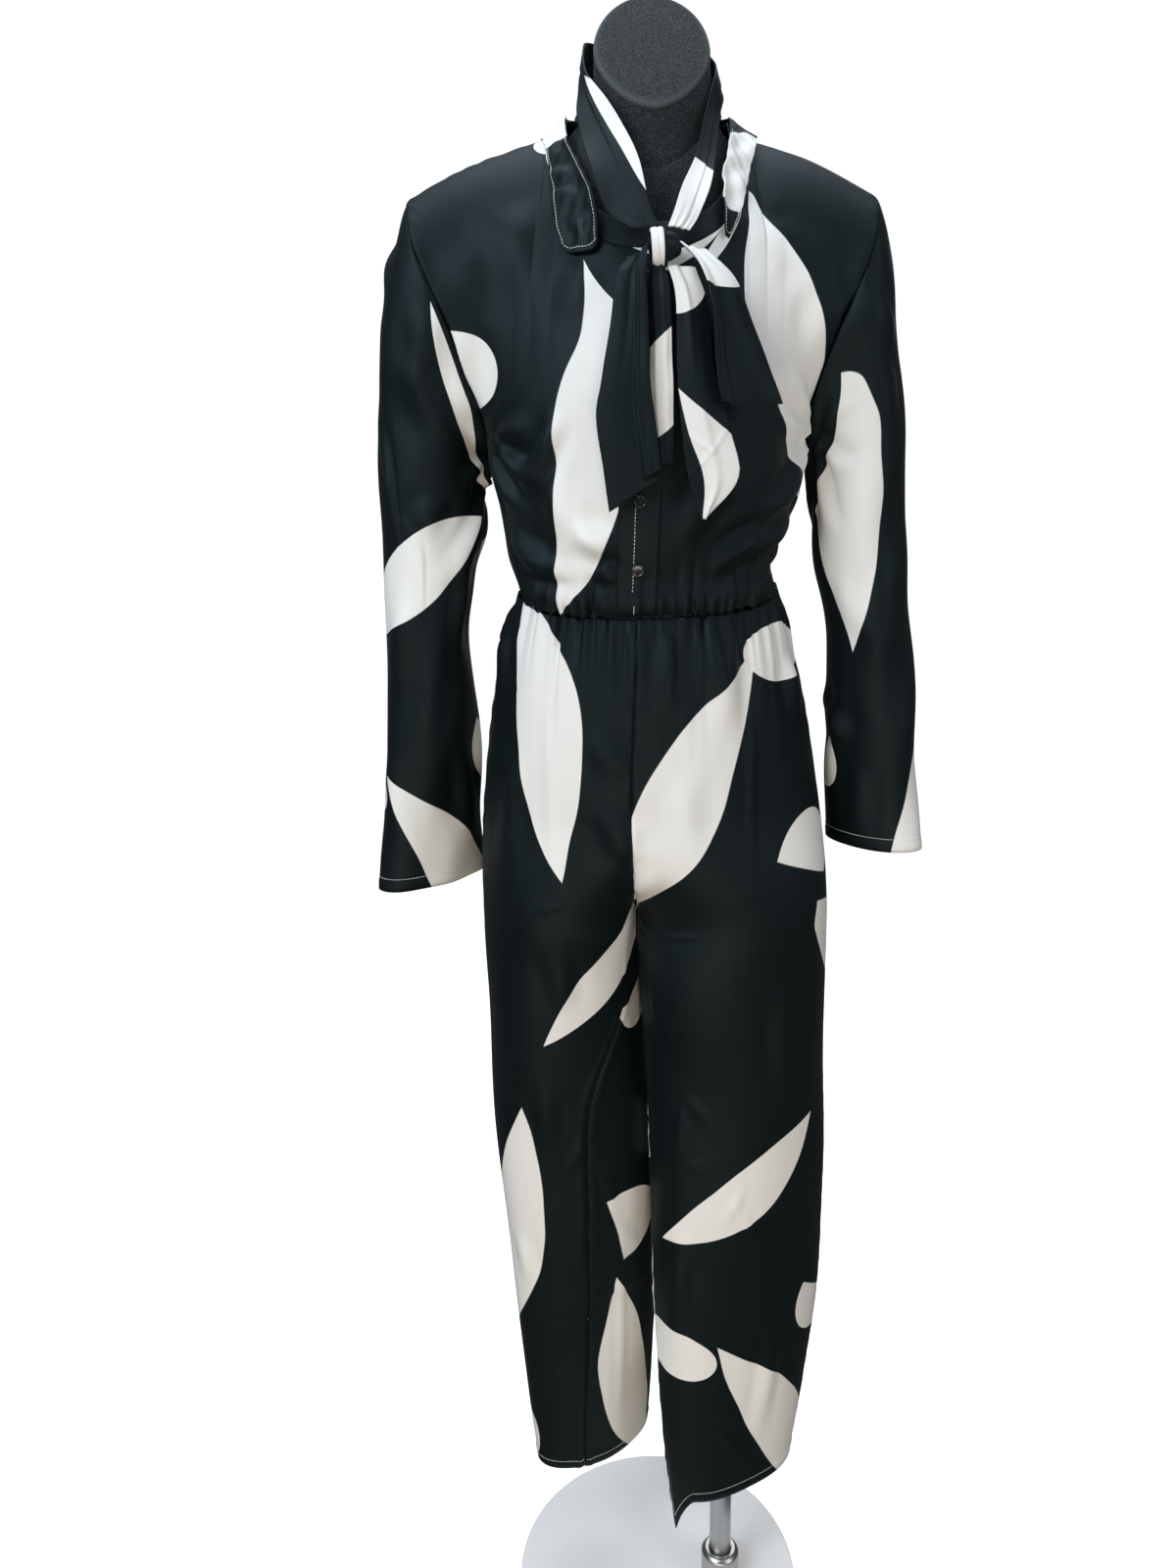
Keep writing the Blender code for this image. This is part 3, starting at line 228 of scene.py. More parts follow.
def unit(vectors):
    """Vectors divided by their lengths."""
    return vectors / np.maximum(np.linalg.norm(vectors, axis=-1, keepdims=True), 1e-12)


def smooth(share):
    """0 below 0, 1 above 1 and 3s^2 - 2s^3 between."""
    s = np.clip(share, 0, 1)
    return s * s * (3 - 2 * s)


def turned_oval(angle, row, power):
    """An oval with its centre line turned: angle 0 is at the row's first x, pi at its second.

    x = centre - half cos^power and y = middle + slope (x - centre) - depth sin^power.
    """
    one, other, middle, slope, front_depth, back_depth = row
    centre, half = (one + other) / 2, (other - one) / 2
    x = centre - half * signed_power(np.cos(angle), power)
    depth = np.where(np.sin(angle) > 0, front_depth, back_depth)
    return x, middle + slope * (x - centre) - depth * signed_power(np.sin(angle), power)


def arch_share(part, roundness):
    """How far a column has bent over, in x, y and height, from a straight line to an arch.

    Its rise is sin and its lean 1 - cos of a quarter turn, each mixed with the plain part.
    """
    arch = part * np.pi / 2
    rise, lean = mix(part, np.sin(arch), roundness), mix(part, 1 - np.cos(arch), roundness)
    return np.stack([rise, lean, rise], -1)


def shoulder_ridge(out_z, in_z, share):
    """The shoulder's height from its end to the neck: 1.4 s - 0.4 s^2 of the way up."""
    return mix(out_z, in_z, 1.4 * share - 0.4 * share**2)


def four_quarters(around, quarter, order):
    """A ring made of quarters in turn. Every other one is run backwards, so that they join."""
    turn = around * 4
    parts = []
    for k, (side, face, backwards) in enumerate(order):
        share = np.clip(turn - k, 0, 1)
        parts.append(quarter(side, face, 1 - share if backwards else share))
    return np.select([(turn < k)[..., None] for k in (1, 2, 3)], parts[:3], parts[3])


# %% Grids
def soften(points, along, kink, rounds=14):
    """Takes a kink out of a grid: points near it move to a quarter, half, quarter mean."""
    points = points.copy()
    near = np.exp(-(((along[1:-1] - kink) / 0.07) ** 4))[:, None]
    for _ in range(rounds):
        mean = (points[:, :-2] + 2 * points[:, 1:-1] + points[:, 2:]) / 4
        points[:, 1:-1] = mix(points[:, 1:-1], mean, near)
    return points


def grid_normals(points, closed=False):
    """Unit normals: the cross product of the grid's two slopes, by central differences."""
    if closed:
        round_grid = np.concatenate([points[-2:-1], points, points[1:2]])
        sideways = (round_grid[2:] - round_grid[:-2]) / 2
    else:
        sideways = np.gradient(points, axis=0)
    return unit(np.cross(sideways, np.gradient(points, axis=1)))


def cloth_coordinates(points, origin=(0.0, 0.0)):
    """Metres over the cloth: u along each row from its middle, v down the middle column."""
    steps = np.linalg.norm(np.diff(points, axis=0), axis=-1)
    u = np.concatenate([np.zeros((1, points.shape[1])), np.cumsum(steps, axis=0)])
    middle = points.shape[0] // 2
    u = u - u[middle]
    falls = np.linalg.norm(np.diff(points[middle], axis=0), axis=-1)
    v = np.concatenate([[0.0], np.cumsum(falls)])
    v = np.broadcast_to(v, u.shape)
    return np.stack([u + origin[0], v + origin[1]], -1)


def grid_piece(name, node, shape, material, thickness=CLOTH, origin=(0.0, 0.0)):
    """Makes a grid of points a mesh with cloth coordinates, and gives it the wall's thickness."""
    points, closed = shape["points"], shape["closed"]
    uv = cloth_coordinates(shape["flat"], origin)
    columns, rows = points.shape[:2]
    kept = columns - 1 if closed else columns
    here = np.arange(columns - 1)[:, None] * rows + np.arange(rows - 1)
    corners = np.stack([here, here + rows, here + rows + 1, here + 1], -1)
    if shape["flip"]:
        corners = corners[..., ::-1]
    flat_uv = uv.reshape(-1, 2)[corners.reshape(-1)]
    faces = corners % (kept * rows)
    mesh = bpy.data.meshes.new(name)
    mesh.vertices.add(kept * rows)
    mesh.vertices.foreach_set("co", points[:kept].astype(np.float32).reshape(-1))
    count = (columns - 1) * (rows - 1)
    mesh.loops.add(count * 4)
    mesh.loops.foreach_set("vertex_index", faces.astype(np.int32).reshape(-1))
    mesh.polygons.add(count)
    mesh.polygons.foreach_set("loop_start", np.arange(count, dtype=np.int32) * 4)
    layer = mesh.uv_layers.new(name="cloth")
    layer.data.foreach_set("uv", flat_uv.astype(np.float32).reshape(-1))
    mesh.update(calc_edges=True)
    mesh.validate()
    mesh.shade_smooth()
    mesh.materials.append(material)
    piece = new_object(name, mesh)
    if thickness:
        wall = piece.modifiers.new("cloth_wall", "SOLIDIFY")
        wall.thickness = thickness
        wall.offset = -1
    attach(piece, "root")
    if node:
        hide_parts(*([node] if isinstance(node, str) else node))
    print(name, "faces", count)
    return piece


# %% [markdown]
# ## Folds
# Thin satin falls in soft ridges with a shallow trough to each side. A fold starts narrow and
# sharp where something holds the cloth, such as a seam, and widens until it is lost. Each one
# is given as a line in space from its held end to its loose end, with its width, its
# height and how far it bows to one side.


# %% Folds
def crease_height(points, normals, creases):
    """Height of all creases at each point.

    t runs from 0 to 1 along a crease and s is the distance to its side, less a parabola for the
    bow, over its width. The height is exp(-s^2), less 0.4 exp(-(|s| - 1.8)^2 * 1.5), times a
    fade at both ends, and only near the crease's own side of the garment. A crease up to 6 mm
    wide was pressed in, so its ridge is sharp: exp(-1.2 |s|), with a shallower trough.
    """
    height = np.zeros(points.shape[:-1])
    for row in creases:
        start, end = np.array(row[:3]) / 1000, np.array(row[3:6]) / 1000
        width, rise, bow, held = row[6] / 1000, row[7] / 1000, row[8] / 1000, row[9]
        length = np.linalg.norm(end - start)
        line = (end - start) / length
        offset = points - start
        t = offset @ line / length
        sideways = unit(np.cross(line, normals))
        broad = width * (mix(0.55, 1.25, np.clip(t, 0, 1)) if held else 1.0)
        s = ((offset * sideways).sum(-1) - bow * 4 * t * (1 - t)) / broad
        depth = (offset * normals).sum(-1) / 0.035
        begin = smooth(t / (0.10 if held else 0.35) + (0.5 if held else 0.0))
        fade = begin * smooth((1 - t) / 0.55)
        if row[6] <= 6:
            profile = np.exp(-1.2 * np.abs(s)) - 0.25 * np.exp(-((np.abs(s) - 1.8) ** 2) * 1.5)
        else:
            profile = np.exp(-(s**2)) - 0.4 * np.exp(-((np.abs(s) - 1.8) ** 2) * 1.5)
        height += rise * profile * fade / (1 + depth**4)
    return height


def waves(points, size, seed, count=9):
    """Soft unevenness between -1 and 1: a mean of sines in different directions and lengths."""
    rng = np.random.default_rng(seed)
    total = np.zeros(points.shape[:-1])
    for _ in range(count):
        direction = rng.normal(size=3) * (1.3, 1.3, 0.8)
        total += np.sin(points @ (direction * 2 * np.pi / size / 1.7) + rng.uniform(0, 2 * np.pi))
    return total / np.sqrt(count)


def gathers(points, centre, seed, counts):
    """Little upright folds all round the waist: sines of the angle about its middle.

    The angle itself is stretched and squeezed by slower sines, so no two folds are alike.
    """
    rng = np.random.default_rng(seed)
    turn = np.arctan2(points[..., 1] - centre[1], points[..., 0] - centre[0])
    turn = turn + 0.035 * np.sin(7 * turn + seed) + 0.020 * np.sin(17 * turn + 2)
    total = np.zeros(points.shape[:-1])
    for n in counts:
        total += np.sin(n * turn + rng.uniform(0, 2 * np.pi)) * rng.uniform(0.6, 1.0)
    swell = 0.60 + 0.40 * np.sin(5 * turn + 1.0) * np.sin(11 * turn + seed)
    return total / len(counts) * swell


def pleats(points, centre, seed, reach, distance):
    """Narrow valleys pinched in at the waist, where the gathers g are near -0.30.

    A valley is exp(-((g + 0.30) / 0.13)^2), and it dies out over the reach away from the waist.
    """
    g = gathers(points, centre, seed, (37, 53))
    return -np.exp(-(((g + 0.30) / 0.13) ** 2)) * np.exp(-((distance.clip(0) / reach) ** 1.5))


def shaped(surface, across, along, height, facing=None, closed=False, kink=None):
    """A surface on a grid, moved out along its normals by a height function."""
    a, b = np.meshgrid(across, along, indexing="ij")
    points = surface(a, b)
    if kink is not None:
        points = soften(points, along, kink)
    normals = grid_normals(points, closed)
    middle = points.reshape(-1, 3).mean(axis=0)
    away = points - middle if facing is None else np.asarray(facing, float)
    flip = bool((normals * away).sum() < 0)
    if flip:
        normals = -normals
    moved = points + normals * height(points, normals, a, b)[..., None]
    turned = grid_normals(moved, closed) * (-1 if flip else 1)
    return dict(
        points=moved, normals=turned, flat=points, flip=flip, closed=closed, across=across, along=along
    )


def sample(shape, across, along):
    """Points and normals of a shaped grid anywhere on it, by mixing the four nearest."""
    i = np.interp(across, shape["across"], np.arange(len(shape["across"])))
    j = np.interp(along, shape["along"], np.arange(len(shape["along"])))
    i0 = np.minimum(i.astype(int), len(shape["across"]) - 2)
    j0 = np.minimum(j.astype(int), len(shape["along"]) - 2)
    p, q = (i - i0)[..., None], (j - j0)[..., None]
    found = []
    for key in ("points", "normals"):
        g = shape[key]
        low = mix(g[i0, j0], g[i0 + 1, j0], p)
        high = mix(g[i0, j0 + 1], g[i0 + 1, j0 + 1], p)
        found.append(mix(low, high, q))
    return found[0], unit(found[1])


# %% [markdown]
# ## Printed satin
# The cloth is a thin polyester satin: long floats of bright yarn on its face, so it is smooth,
# with a broad soft gloss, and black where the dye is deepest. The print is a loose pattern of
# willow leaves, pebbles and half moons in ivory. Each motif is one formula in the cloth's own
# coordinates, so it runs over folds as a real print does, and each panel is cut from its own
# place in the repeat.

# %% Print motifs
REPEAT = (0.78, 1.12)  # metres, across and along the cloth

# kind, middle across, middle along, half width, half length, turn in degrees, bend
MOTIFS = (
    ("leaf", 0.10, 0.21, 0.036, 0.170, 12, 0.5),
    ("leaf", 0.33, 0.13, 0.030, 0.110, -52, -0.4),
    ("leaf", 0.56, 0.27, 0.038, 0.185, -10, 0.6),
    ("leaf", 0.27, 0.47, 0.036, 0.175, 28, -0.5),
    ("leaf", 0.66, 0.62, 0.034, 0.160, 18, 0.5),
    ("leaf", 0.12, 0.74, 0.034, 0.150, -14, 0.6),
    ("leaf", 0.43, 0.83, 0.038, 0.185, -28, 0.5),
    ("leaf", 0.67, 0.97, 0.030, 0.110, 48, 0.4),
    ("leaf", 0.19, 1.00, 0.030, 0.100, 40, -0.4),
    ("pebble", 0.41, 0.33, 0.028, 0.052, 65, 0.0),
    ("pebble", 0.08, 0.50, 0.027, 0.048, 20, 0.0),
    ("pebble", 0.52, 0.55, 0.030, 0.056, -35, 0.0),
    ("pebble", 0.30, 0.68, 0.026, 0.045, 80, 0.0),
    ("pebble", 0.56, 1.02, 0.028, 0.050, 10, 0.0),
    ("moon", 0.70, 0.40, 0.046, 0.050, 110, 0.0),
    ("moon", 0.22, 0.30, 0.040, 0.046, -30, 0.0),
    ("moon", 0.29, 0.88, 0.042, 0.048, 160, 0.0),
    ("moon", 0.71, 0.12, 0.040, 0.044, 30, 0.0),
)


# %% Satin material
def sums(tree, operation, one, other, third=None):
    """One step of arithmetic in a material."""
    inputs = {"i0": one, "i1": other}
    if third is not None:
        inputs["i2"] = third
    return add(tree, "Math", {"operation": operation}, **inputs).outputs[0]


def motif_cover(tree, place, kind, x, y, half_width, half_length, turn, bend):
    """How far inside one motif a place is, above 0 inside it.

    In the motif's own frame, where it reaches 1 to each side and end, a leaf is
    1 - y^2 - |x + bend y^2 - bend / 3|, a pebble 1 - (x^2 + y^2), and a moon the smaller of
    1 - (x^2 + y^2) and a straight edge along y = -0.15.
    """
    own = add(
        tree,
        "Mapping",
        {"vector_type": "TEXTURE"},
        Vector=place,
        Location=(x, y, 0),
        Rotation=(0, 0, math.radians(turn)),
        Scale=(half_width, half_length, 1),
    ).outputs[0]
    parts = add(tree, "SeparateXYZ", Vector=own).outputs
    square = sums(tree, "MULTIPLY", parts[1], parts[1])
    if kind == "leaf":
        shifted = sums(tree, "MULTIPLY_ADD", square, bend, sums(tree, "SUBTRACT", parts[0], bend / 3))
        side = add(tree, "Math", {"operation": "ABSOLUTE"}, i0=shifted).outputs[0]
        return sums(tree, "SUBTRACT", sums(tree, "SUBTRACT", 1.0, square), side)
    across = sums(tree, "MULTIPLY", parts[0], parts[0])
    oval = sums(tree, "SUBTRACT", sums(tree, "SUBTRACT", 1.0, square), across)
    if kind == "moon":
        return sums(tree, "MINIMUM", oval, sums(tree, "ADD", parts[1], 0.15))
    return oval


def printed_satin(name, printed=True, ground="#030a0a", gloss=0.59):
    """Polyester satin, woven and then screen printed: soft broad gloss, no sparkle."""
    material, tree, shader = new_finish(
        name, Roughness=gloss, IOR=1.48, Specular_IOR_Level=0.31, Specular_Tint=linear("#c6e0e5"),
        Sheen_Weight=0.035, Sheen_Roughness=0.42, Sheen_Tint=linear("#c5dbe4"),
    )
    cloth = add(tree, "UVMap", {"uv_map": "cloth"}).outputs[0]
    black = blend(tree, noise(tree, cloth, 9.0, 3.0), ground, "#060d0e")
    colour = black
    if printed:
        wander = add(tree, "TexNoise", Vector=cloth, Scale=9.0, Detail=1.0).outputs["Color"]
        drift = add(
            tree, "VectorMath", {"operation": "MULTIPLY_ADD"}, i0=wander,
            i1=(0.012, 0.012, 0), i2=(-0.006, -0.006, 0),
        ).outputs[0]
        moved = add(tree, "VectorMath", {"operation": "ADD"}, i0=cloth, i1=drift).outputs[0]
        place = add(
            tree, "VectorMath", {"operation": "WRAP"}, i0=moved,
            i1=(*REPEAT, 1.0), i2=(0, 0, -1.0),
        ).outputs[0]
        cover = None
        for motif in MOTIFS:
            one = motif_cover(tree, place, *motif)
            cover = one if cover is None else sums(tree, "MAXIMUM", cover, one)
        mask = add(tree, "MapRange", Value=cover, i1=-0.012, i2=0.012).outputs[0]
        stroke = add(tree, "Mapping", Vector=cloth, Scale=(1.0, 0.12, 1.0)).outputs[0]
        ivory = blend(tree, noise(tree, stroke, 55.0, 4.0), "#dddfd9", "#eae8e0")
        colour = blend(tree, mask, black, ivory)
    tree.links.new(colour, shader.inputs["Base Color"])
    # the floats of real satin are far too fine to draw: these are faint slanting bands, whose
    # phase is 10 times their scale for each metre across and along, so they lie 5.3 mm apart
    weave = add(
        tree, "TexWave", {"wave_type": "BANDS", "bands_direction": "DIAGONAL"},
        Vector=cloth, Scale=1000 / 12, Distortion=0.6, Detail=1.0,
    ).outputs[1]
    slanted = add(tree, "Mapping", Vector=cloth, Rotation=(0, 0, 0.55), Scale=(1.0, 0.2, 1.0)).outputs[0]
    crinkle = noise(tree, slanted, 110.0, 3.0)
    fine = add(tree, "Bump", Height=weave, Strength=0.10, Distance=0.0002).outputs[0]
    soft = add(tree, "Bump", Height=crinkle, Strength=0.30, Distance=0.0007, Normal=fine).outputs[0]
    tree.links.new(soft, shader.inputs["Normal"])
    return material


satin = printed_satin("printed_polyester_satin")
plain_satin = printed_satin("black_polyester_satin", printed=False, ground="#04090b", gloss=0.58)
print("motifs in the repeat", len(MOTIFS))


# %% [markdown]
# ## Bodice
# The bodice is two fronts and a back. From the waist to the underarm each panel is part of an
# oval section; above that each column of the grid bends over like an arch to the shoulder seam
# and the neckline. All panels share these formulas, so their seams meet.

# %% Bodice sizes
WAIST_HEIGHT, WAIST_TILT, CASING_HEIGHT = 1.185, 0.10, 0.009
SHOULDER = {RIGHT: (-0.211, 1.530), LEFT: (0.197, 1.527)}
NECK_SIDE = {RIGHT: (-0.084, 1.580), LEFT: (0.084, 1.574)}
UNDERARM = {RIGHT: (-0.150, 1.300), LEFT: (0.141, 1.302)}
ARMHOLE_HALF_WIDTH = {FRONT: 0.060, BACK: 0.056}
NECK_DEPTH = {FRONT: 0.098, BACK: 0.052}
NECK_CENTRE = {FRONT: 1.474, BACK: 1.572}
CHEST_CENTRE = {FRONT: 1.370, BACK: 1.410}
SHOULDER_SHARE, CHEST_SHARE = 0.5, 0.42
WAIST_MIDDLE = (-0.003, 0.0)

# rise above the waist, right reach, left reach, centre x, front depth, back depth
BODICE_ROWS = (
    (0.000, 0.1335, 0.1270, -0.0185, 0.0990, 0.0850),
    (0.028, 0.1390, 0.1225, -0.0170, 0.1090, 0.0990),
    (0.058, 0.1400, 0.1330, -0.0160, 0.1170, 0.1090),
    (0.083, 0.1420, 0.1405, -0.0140, 0.1185, 0.1110),
    (0.115, 0.1500, 0.1410, -0.0120, 0.1180, 0.1080),
)


# %% Bodice surface
def waist_height(y):
    """The waist rises a tenth of a metre for each metre towards the back."""
    return WAIST_HEIGHT + WAIST_TILT * y


def armhole(side, face, rise):
    """The armhole's edge: round at the shoulder, narrowing to the underarm, and leaning out."""
    low_x, low_z = UNDERARM[side]
    top_x, top_z = SHOULDER[side]
    lean = (1 - np.cos(np.pi * rise**1.2)) / 2
    x = mix(low_x, top_x, lean)
    y = face * ARMHOLE_HALF_WIDTH[face] * 2.6 * rise * np.sqrt(np.clip(1 - rise, 0, 1))
    return np.stack([x, y, mix(low_z, top_z, rise)], -1)


def neckline(side, face, turn):
    """The neckline: a superellipse in plan, falling in step with its reach from the shoulder."""
    angle = turn * np.pi / 2
    power = 0.75 if face == FRONT else 1.0
    x = NECK_SIDE[side][0] * signed_power(np.cos(angle), power)
    reach = signed_power(np.sin(angle), power)
    y = face * NECK_DEPTH[face] * reach
    fall = reach**1.15 if face == FRONT else reach**2
    return np.stack([x, y, mix(NECK_SIDE[side][1], NECK_CENTRE[face], fall)], -1)


def top_edge(side, face, across):
    """The upper edge of a bodice panel: the shoulder seam, then the neckline."""
    share = np.clip(across / SHOULDER_SHARE, 0, 1)
    (out_x, out_z), (in_x, in_z) = SHOULDER[side], NECK_SIDE[side]
    x = mix(out_x, in_x, share)
    shoulder = np.stack([x, np.zeros_like(x), shoulder_ridge(out_z, in_z, share)], -1)
    turn = np.clip((across - SHOULDER_SHARE) / (1 - SHOULDER_SHARE), 0, 1)
    return np.where(across[..., None] < SHOULDER_SHARE, shoulder, neckline(side, face, turn))


def soft_top_edge(side, face, across):
    """The upper edge with its corner at the neck rounded off: a mean of places around it."""
    width = np.minimum(0.22, np.minimum(across, 1 - across))
    steps = ((-1.0, 1), (-0.5, 2), (0.0, 2), (0.5, 2), (1.0, 1))
    return sum(w * top_edge(side, face, across + s * width) for s, w in steps) / 8


def bodice_ring(side, face, across, share):
    """A quarter of the bodice's oval section, from the waist to the chest."""
    rise, right, left, centre, front_depth, back_depth = read_columns(BODICE_ROWS, share)
    reach = -right if side == RIGHT else left
    centre = centre if face == FRONT else 0.0 * centre
    angle = across * np.pi / 2
    x = mix(centre, reach, np.cos(angle) ** 0.95)
    y = face * (front_depth if face == FRONT else back_depth) * np.sin(angle) ** 0.95
    low = waist_height(y) + CASING_HEIGHT / 2 + rise
    lift = (CHEST_CENTRE[face] - BODICE_ROWS[-1][0] - WAIST_HEIGHT) * share**2
    return np.stack([x, y, mix(low, low + lift, np.sin(angle) ** 2)], -1)


def bodice(side, face, across, up):
    """A bodice panel: the oval section below the chest, and above it columns that bend over.

    Each column above the chest is part of an arch, sin for its rise and 1 - cos for its lean,
    and the columns near the armhole are drawn forward or back to its edge.
    """
    below = bodice_ring(side, face, across, np.clip(up / CHEST_SHARE, 0, 1))
    chest = bodice_ring(side, face, across, np.ones_like(across))
    top = top_edge(side, face, across)
    part = np.clip((up - CHEST_SHARE) / (1 - CHEST_SHARE), 0, 1)
    roundness = 1 - 0.75 * smooth((across - 0.15) / 0.85)
    soft = soft_top_edge(side, face, across)
    above = mix(chest, soft, arch_share(part, roundness)) + (top - soft) * (part**3)[..., None]
    rise = np.sin(part * np.pi / 2)
    low_x, low_z = UNDERARM[side]
    top_x, top_z = SHOULDER[side]
    plain = np.stack([mix(low_x, top_x, rise), 0 * rise, mix(low_z, top_z, rise)], -1)
    above = above + (armhole(side, face, rise) - plain) * ((1 - across) ** 3)[..., None]
    return np.where((up < CHEST_SHARE)[..., None], below, above)


def blouse(points):
    """The bodice sags over the elastic and is drawn in by it.

    The lowest 24 mm drop by 8.5 mm at the front and back and bulge by up to 6 mm there, with a
    scalloped edge. The sides, where y is small, are pinched in instead: by 9.5 mm at the waist,
    and 45 mm above it by 9.5 mm more on the left and 3.5 mm more on the right.
    """
    above = points[..., 2] - waist_height(points[..., 1]) - CASING_HEIGHT / 2
    sag = 1 - smooth(above / 0.024)
    forward_share = smooth(np.abs(points[..., 1]) / 0.085)
    bulge = (0.0024 * sag + 0.0034 * np.exp(-(((above - 0.011) / 0.009) ** 2))) * forward_share
    pinch = 0.0095 * np.exp(-((above / 0.026) ** 2))
    pinch = pinch + np.where(points[..., 0] > 0, 0.0095, 0.0035) * np.exp(-(((above - 0.045) / 0.035) ** 2))
    bulge = bulge - pinch * (1 - forward_share)
    out = unit(points * (1, 1, 0) + 1e-9)
    drop = 0.0085 * forward_share
    drop = drop + 0.0030 * gathers(points, WAIST_MIDDLE, 8, CLOSE_FOLDS)
    return points + out * bulge[..., None] - np.array([0, 0, 1.0]) * (sag * drop)[..., None]


def whole_width(quarter):
    """Two mirrored quarters as one surface: across runs from one side seam to the other."""

    def surface(across, along):
        right = quarter(RIGHT, np.clip(2 * across, 0, 1), along)
        left = quarter(LEFT, np.clip(2 - 2 * across, 0, 1), along)
        return np.where((across < 0.5)[..., None], right, left)

    return surface


# %% Where the cloth is held
def seam_pucker(distance, run, seed=0.0):
    """A seam's line: a dip of 0.7 mm on it, and small puckers 9 mm apart that fade 10 mm away."""
    dip = -0.0007 * np.exp(-((distance / 0.0022) ** 2))
    pull = 0.00045 * np.sin(run / 0.0046 + seed + 1.3 * np.sin(run / 0.017))
    return dip + pull * np.exp(-((distance / 0.010) ** 2)) * (1 - np.exp(-((distance / 0.002) ** 2)))


def edge_distance(points, which):
    """Metres over the cloth from an edge of the grid: start, end, low or high."""
    axis = 0 if which in ("start", "end") else 1
    steps = np.linalg.norm(np.diff(points, axis=axis), axis=-1)
    shape = list(steps.shape)
    shape[axis] = 1
    total = np.concatenate([np.zeros(shape), np.cumsum(steps, axis=axis)], axis=axis)
    if which in ("end", "high"):
        total = np.take(total, [-1], axis=axis) - total
    return total


# millimetres: start x, y, height, end x, y, height, width, rise, bow; then 1 if held at its start
BODICE_CREASES = (
    # front
    (-81, -103, 1350, -120, -69, 1273, 8, 5.7, -6, 0),
    (-170, -58, 1429, -145, -44, 1334, 11, 4.2, 6, 0),
    (-106, -46, 1526, -93, -87, 1418, 17, 4.6, 5, 0),
    (-130, -46, 1523, -141, -63, 1422, 18, 3.8, -6, 0),
    (-155, -54, 1497, -162, -56, 1415, 16, 3, 4, 0),
    (-63, -87, 1469, -68, -100, 1408, 14, 2.7, 0, 0),
    (-129, -50, 1248, -74, -99, 1223, 9, 6.1, 8, 0),
    (-125, -53, 1218, -60, -101, 1207, 8, 4.6, -4, 0),
    (-74, -104, 1254, -26, -113, 1233, 10, 6.1, 6, 0),
    (-52, -107, 1220, -32, -104, 1199, 7, 3.5, 0, 0),
    (-136, -56, 1323, -92, -96, 1289, 9, 4.9, 8, 1),
    (-139, -50, 1315, -117, -71, 1257, 9, 5.3, 6, 1),
    (-136, -55, 1327, -103, -90, 1340, 9, 3.8, 0, 1),
    (131, -43, 1303, 86, -87, 1252, 10, 6.8, -7, 0),
    (130, -42, 1269, 76, -86, 1220, 9, 6.5, -5, 0),
    (103, -71, 1244, 39, -99, 1203, 9, 5.7, 6, 0),
    (65, -103, 1291, 16, -110, 1227, 11, 4.2, 8, 0),
    (124, -27, 1231, 84, -75, 1202, 7, 3.2, 0, 0),
    (141, -27, 1327, 97, -85, 1340, 9, 4.6, 0, 1),
    (139, -26, 1316, 108, -75, 1285, 9, 4.9, -5, 1),
    (138, -25, 1306, 123, -52, 1260, 8, 4.2, 4, 1),
    (141, -28, 1334, 111, -74, 1376, 10, 3.8, 0, 1),
    (147, -61, 1447, 148, -50, 1389, 12, 3.4, 0, 0),
    (75, -61, 1512, 91, -75, 1456, 16, 3.6, 0, 0),
    (136, -53, 1499, 130, -64, 1422, 14, 3.4, -4, 0),
    (112, -53, 1507, 102, -74, 1439, 16, 3, 0, 0),
    (54, -96, 1437, 64, -103, 1344, 15, 3, 5, 0),
    (-92, -97, 1307, -60, -107, 1233, 13, 3.8, 9, 0),
    # back
    (84, 90, 1362, 123, 54, 1285, 9, 4.9, 6, 0),
    (154, 53, 1424, 129, 46, 1329, 12, 3.8, -6, 0),
    (90, 58, 1508, 77, 91, 1400, 17, 4.4, -5, 0),
    (119, 46, 1520, 130, 59, 1419, 20, 4.2, 6, 0),
    (160, 43, 1511, 167, 54, 1429, 16, 2.8, -4, 0),
    (126, 7, 1229, 74, 73, 1205, 10, 5.7, -8, 0),
    (114, 45, 1233, 50, 88, 1223, 8, 4.6, 4, 0),
    (78, 82, 1243, 30, 92, 1222, 10, 6.5, -6, 0),
    (-127, 51, 1284, -82, 81, 1233, 12, 5.1, 7, 0),
    (-135, 33, 1266, -81, 78, 1218, 11, 5.3, 5, 0),
    (-112, 66, 1257, -48, 87, 1216, 9, 4.6, -6, 0),
    (-142, 41, 1332, -112, 75, 1374, 10, 4, 0, 1),
    (-86, 64, 1505, -103, 72, 1449, 16, 3.4, 0, 0),
    (-141, 55, 1488, -135, 60, 1412, 16, 2.7, 4, 0),
    (-107, 61, 1491, -96, 80, 1422, 18, 2.7, 0, 0),
)


def bodice_height(points, normals, seams):
    """Height of the cloth over the bodice's plain surface: folds, gathers, waves and seams."""
    above_waist = points[..., 2] - waist_height(points[..., 1])
    fade = np.exp(-((above_waist.clip(0) / 0.030) ** 1.5))
    height = 0.0066 * gathers(points, WAIST_MIDDLE, 3, WIDE_FOLDS) * fade
    close = np.exp(-((above_waist / 0.016) ** 2))
    height += 0.0034 * gathers(points, WAIST_MIDDLE, 8, CLOSE_FOLDS) * close - 0.0016 * fade
    height += 0.0042 * pleats(points, WAIST_MIDDLE, 4, 0.026, above_waist)
    height += 1.25 * crease_height(points, normals, BODICE_CREASES)
    height += 0.0012 * waves(points, 0.12, 5) * smooth(above_waist / 0.05)
    run = points.sum(-1)
    for which in seams:
        height += seam_pucker(edge_distance(points, which), run)
    return height


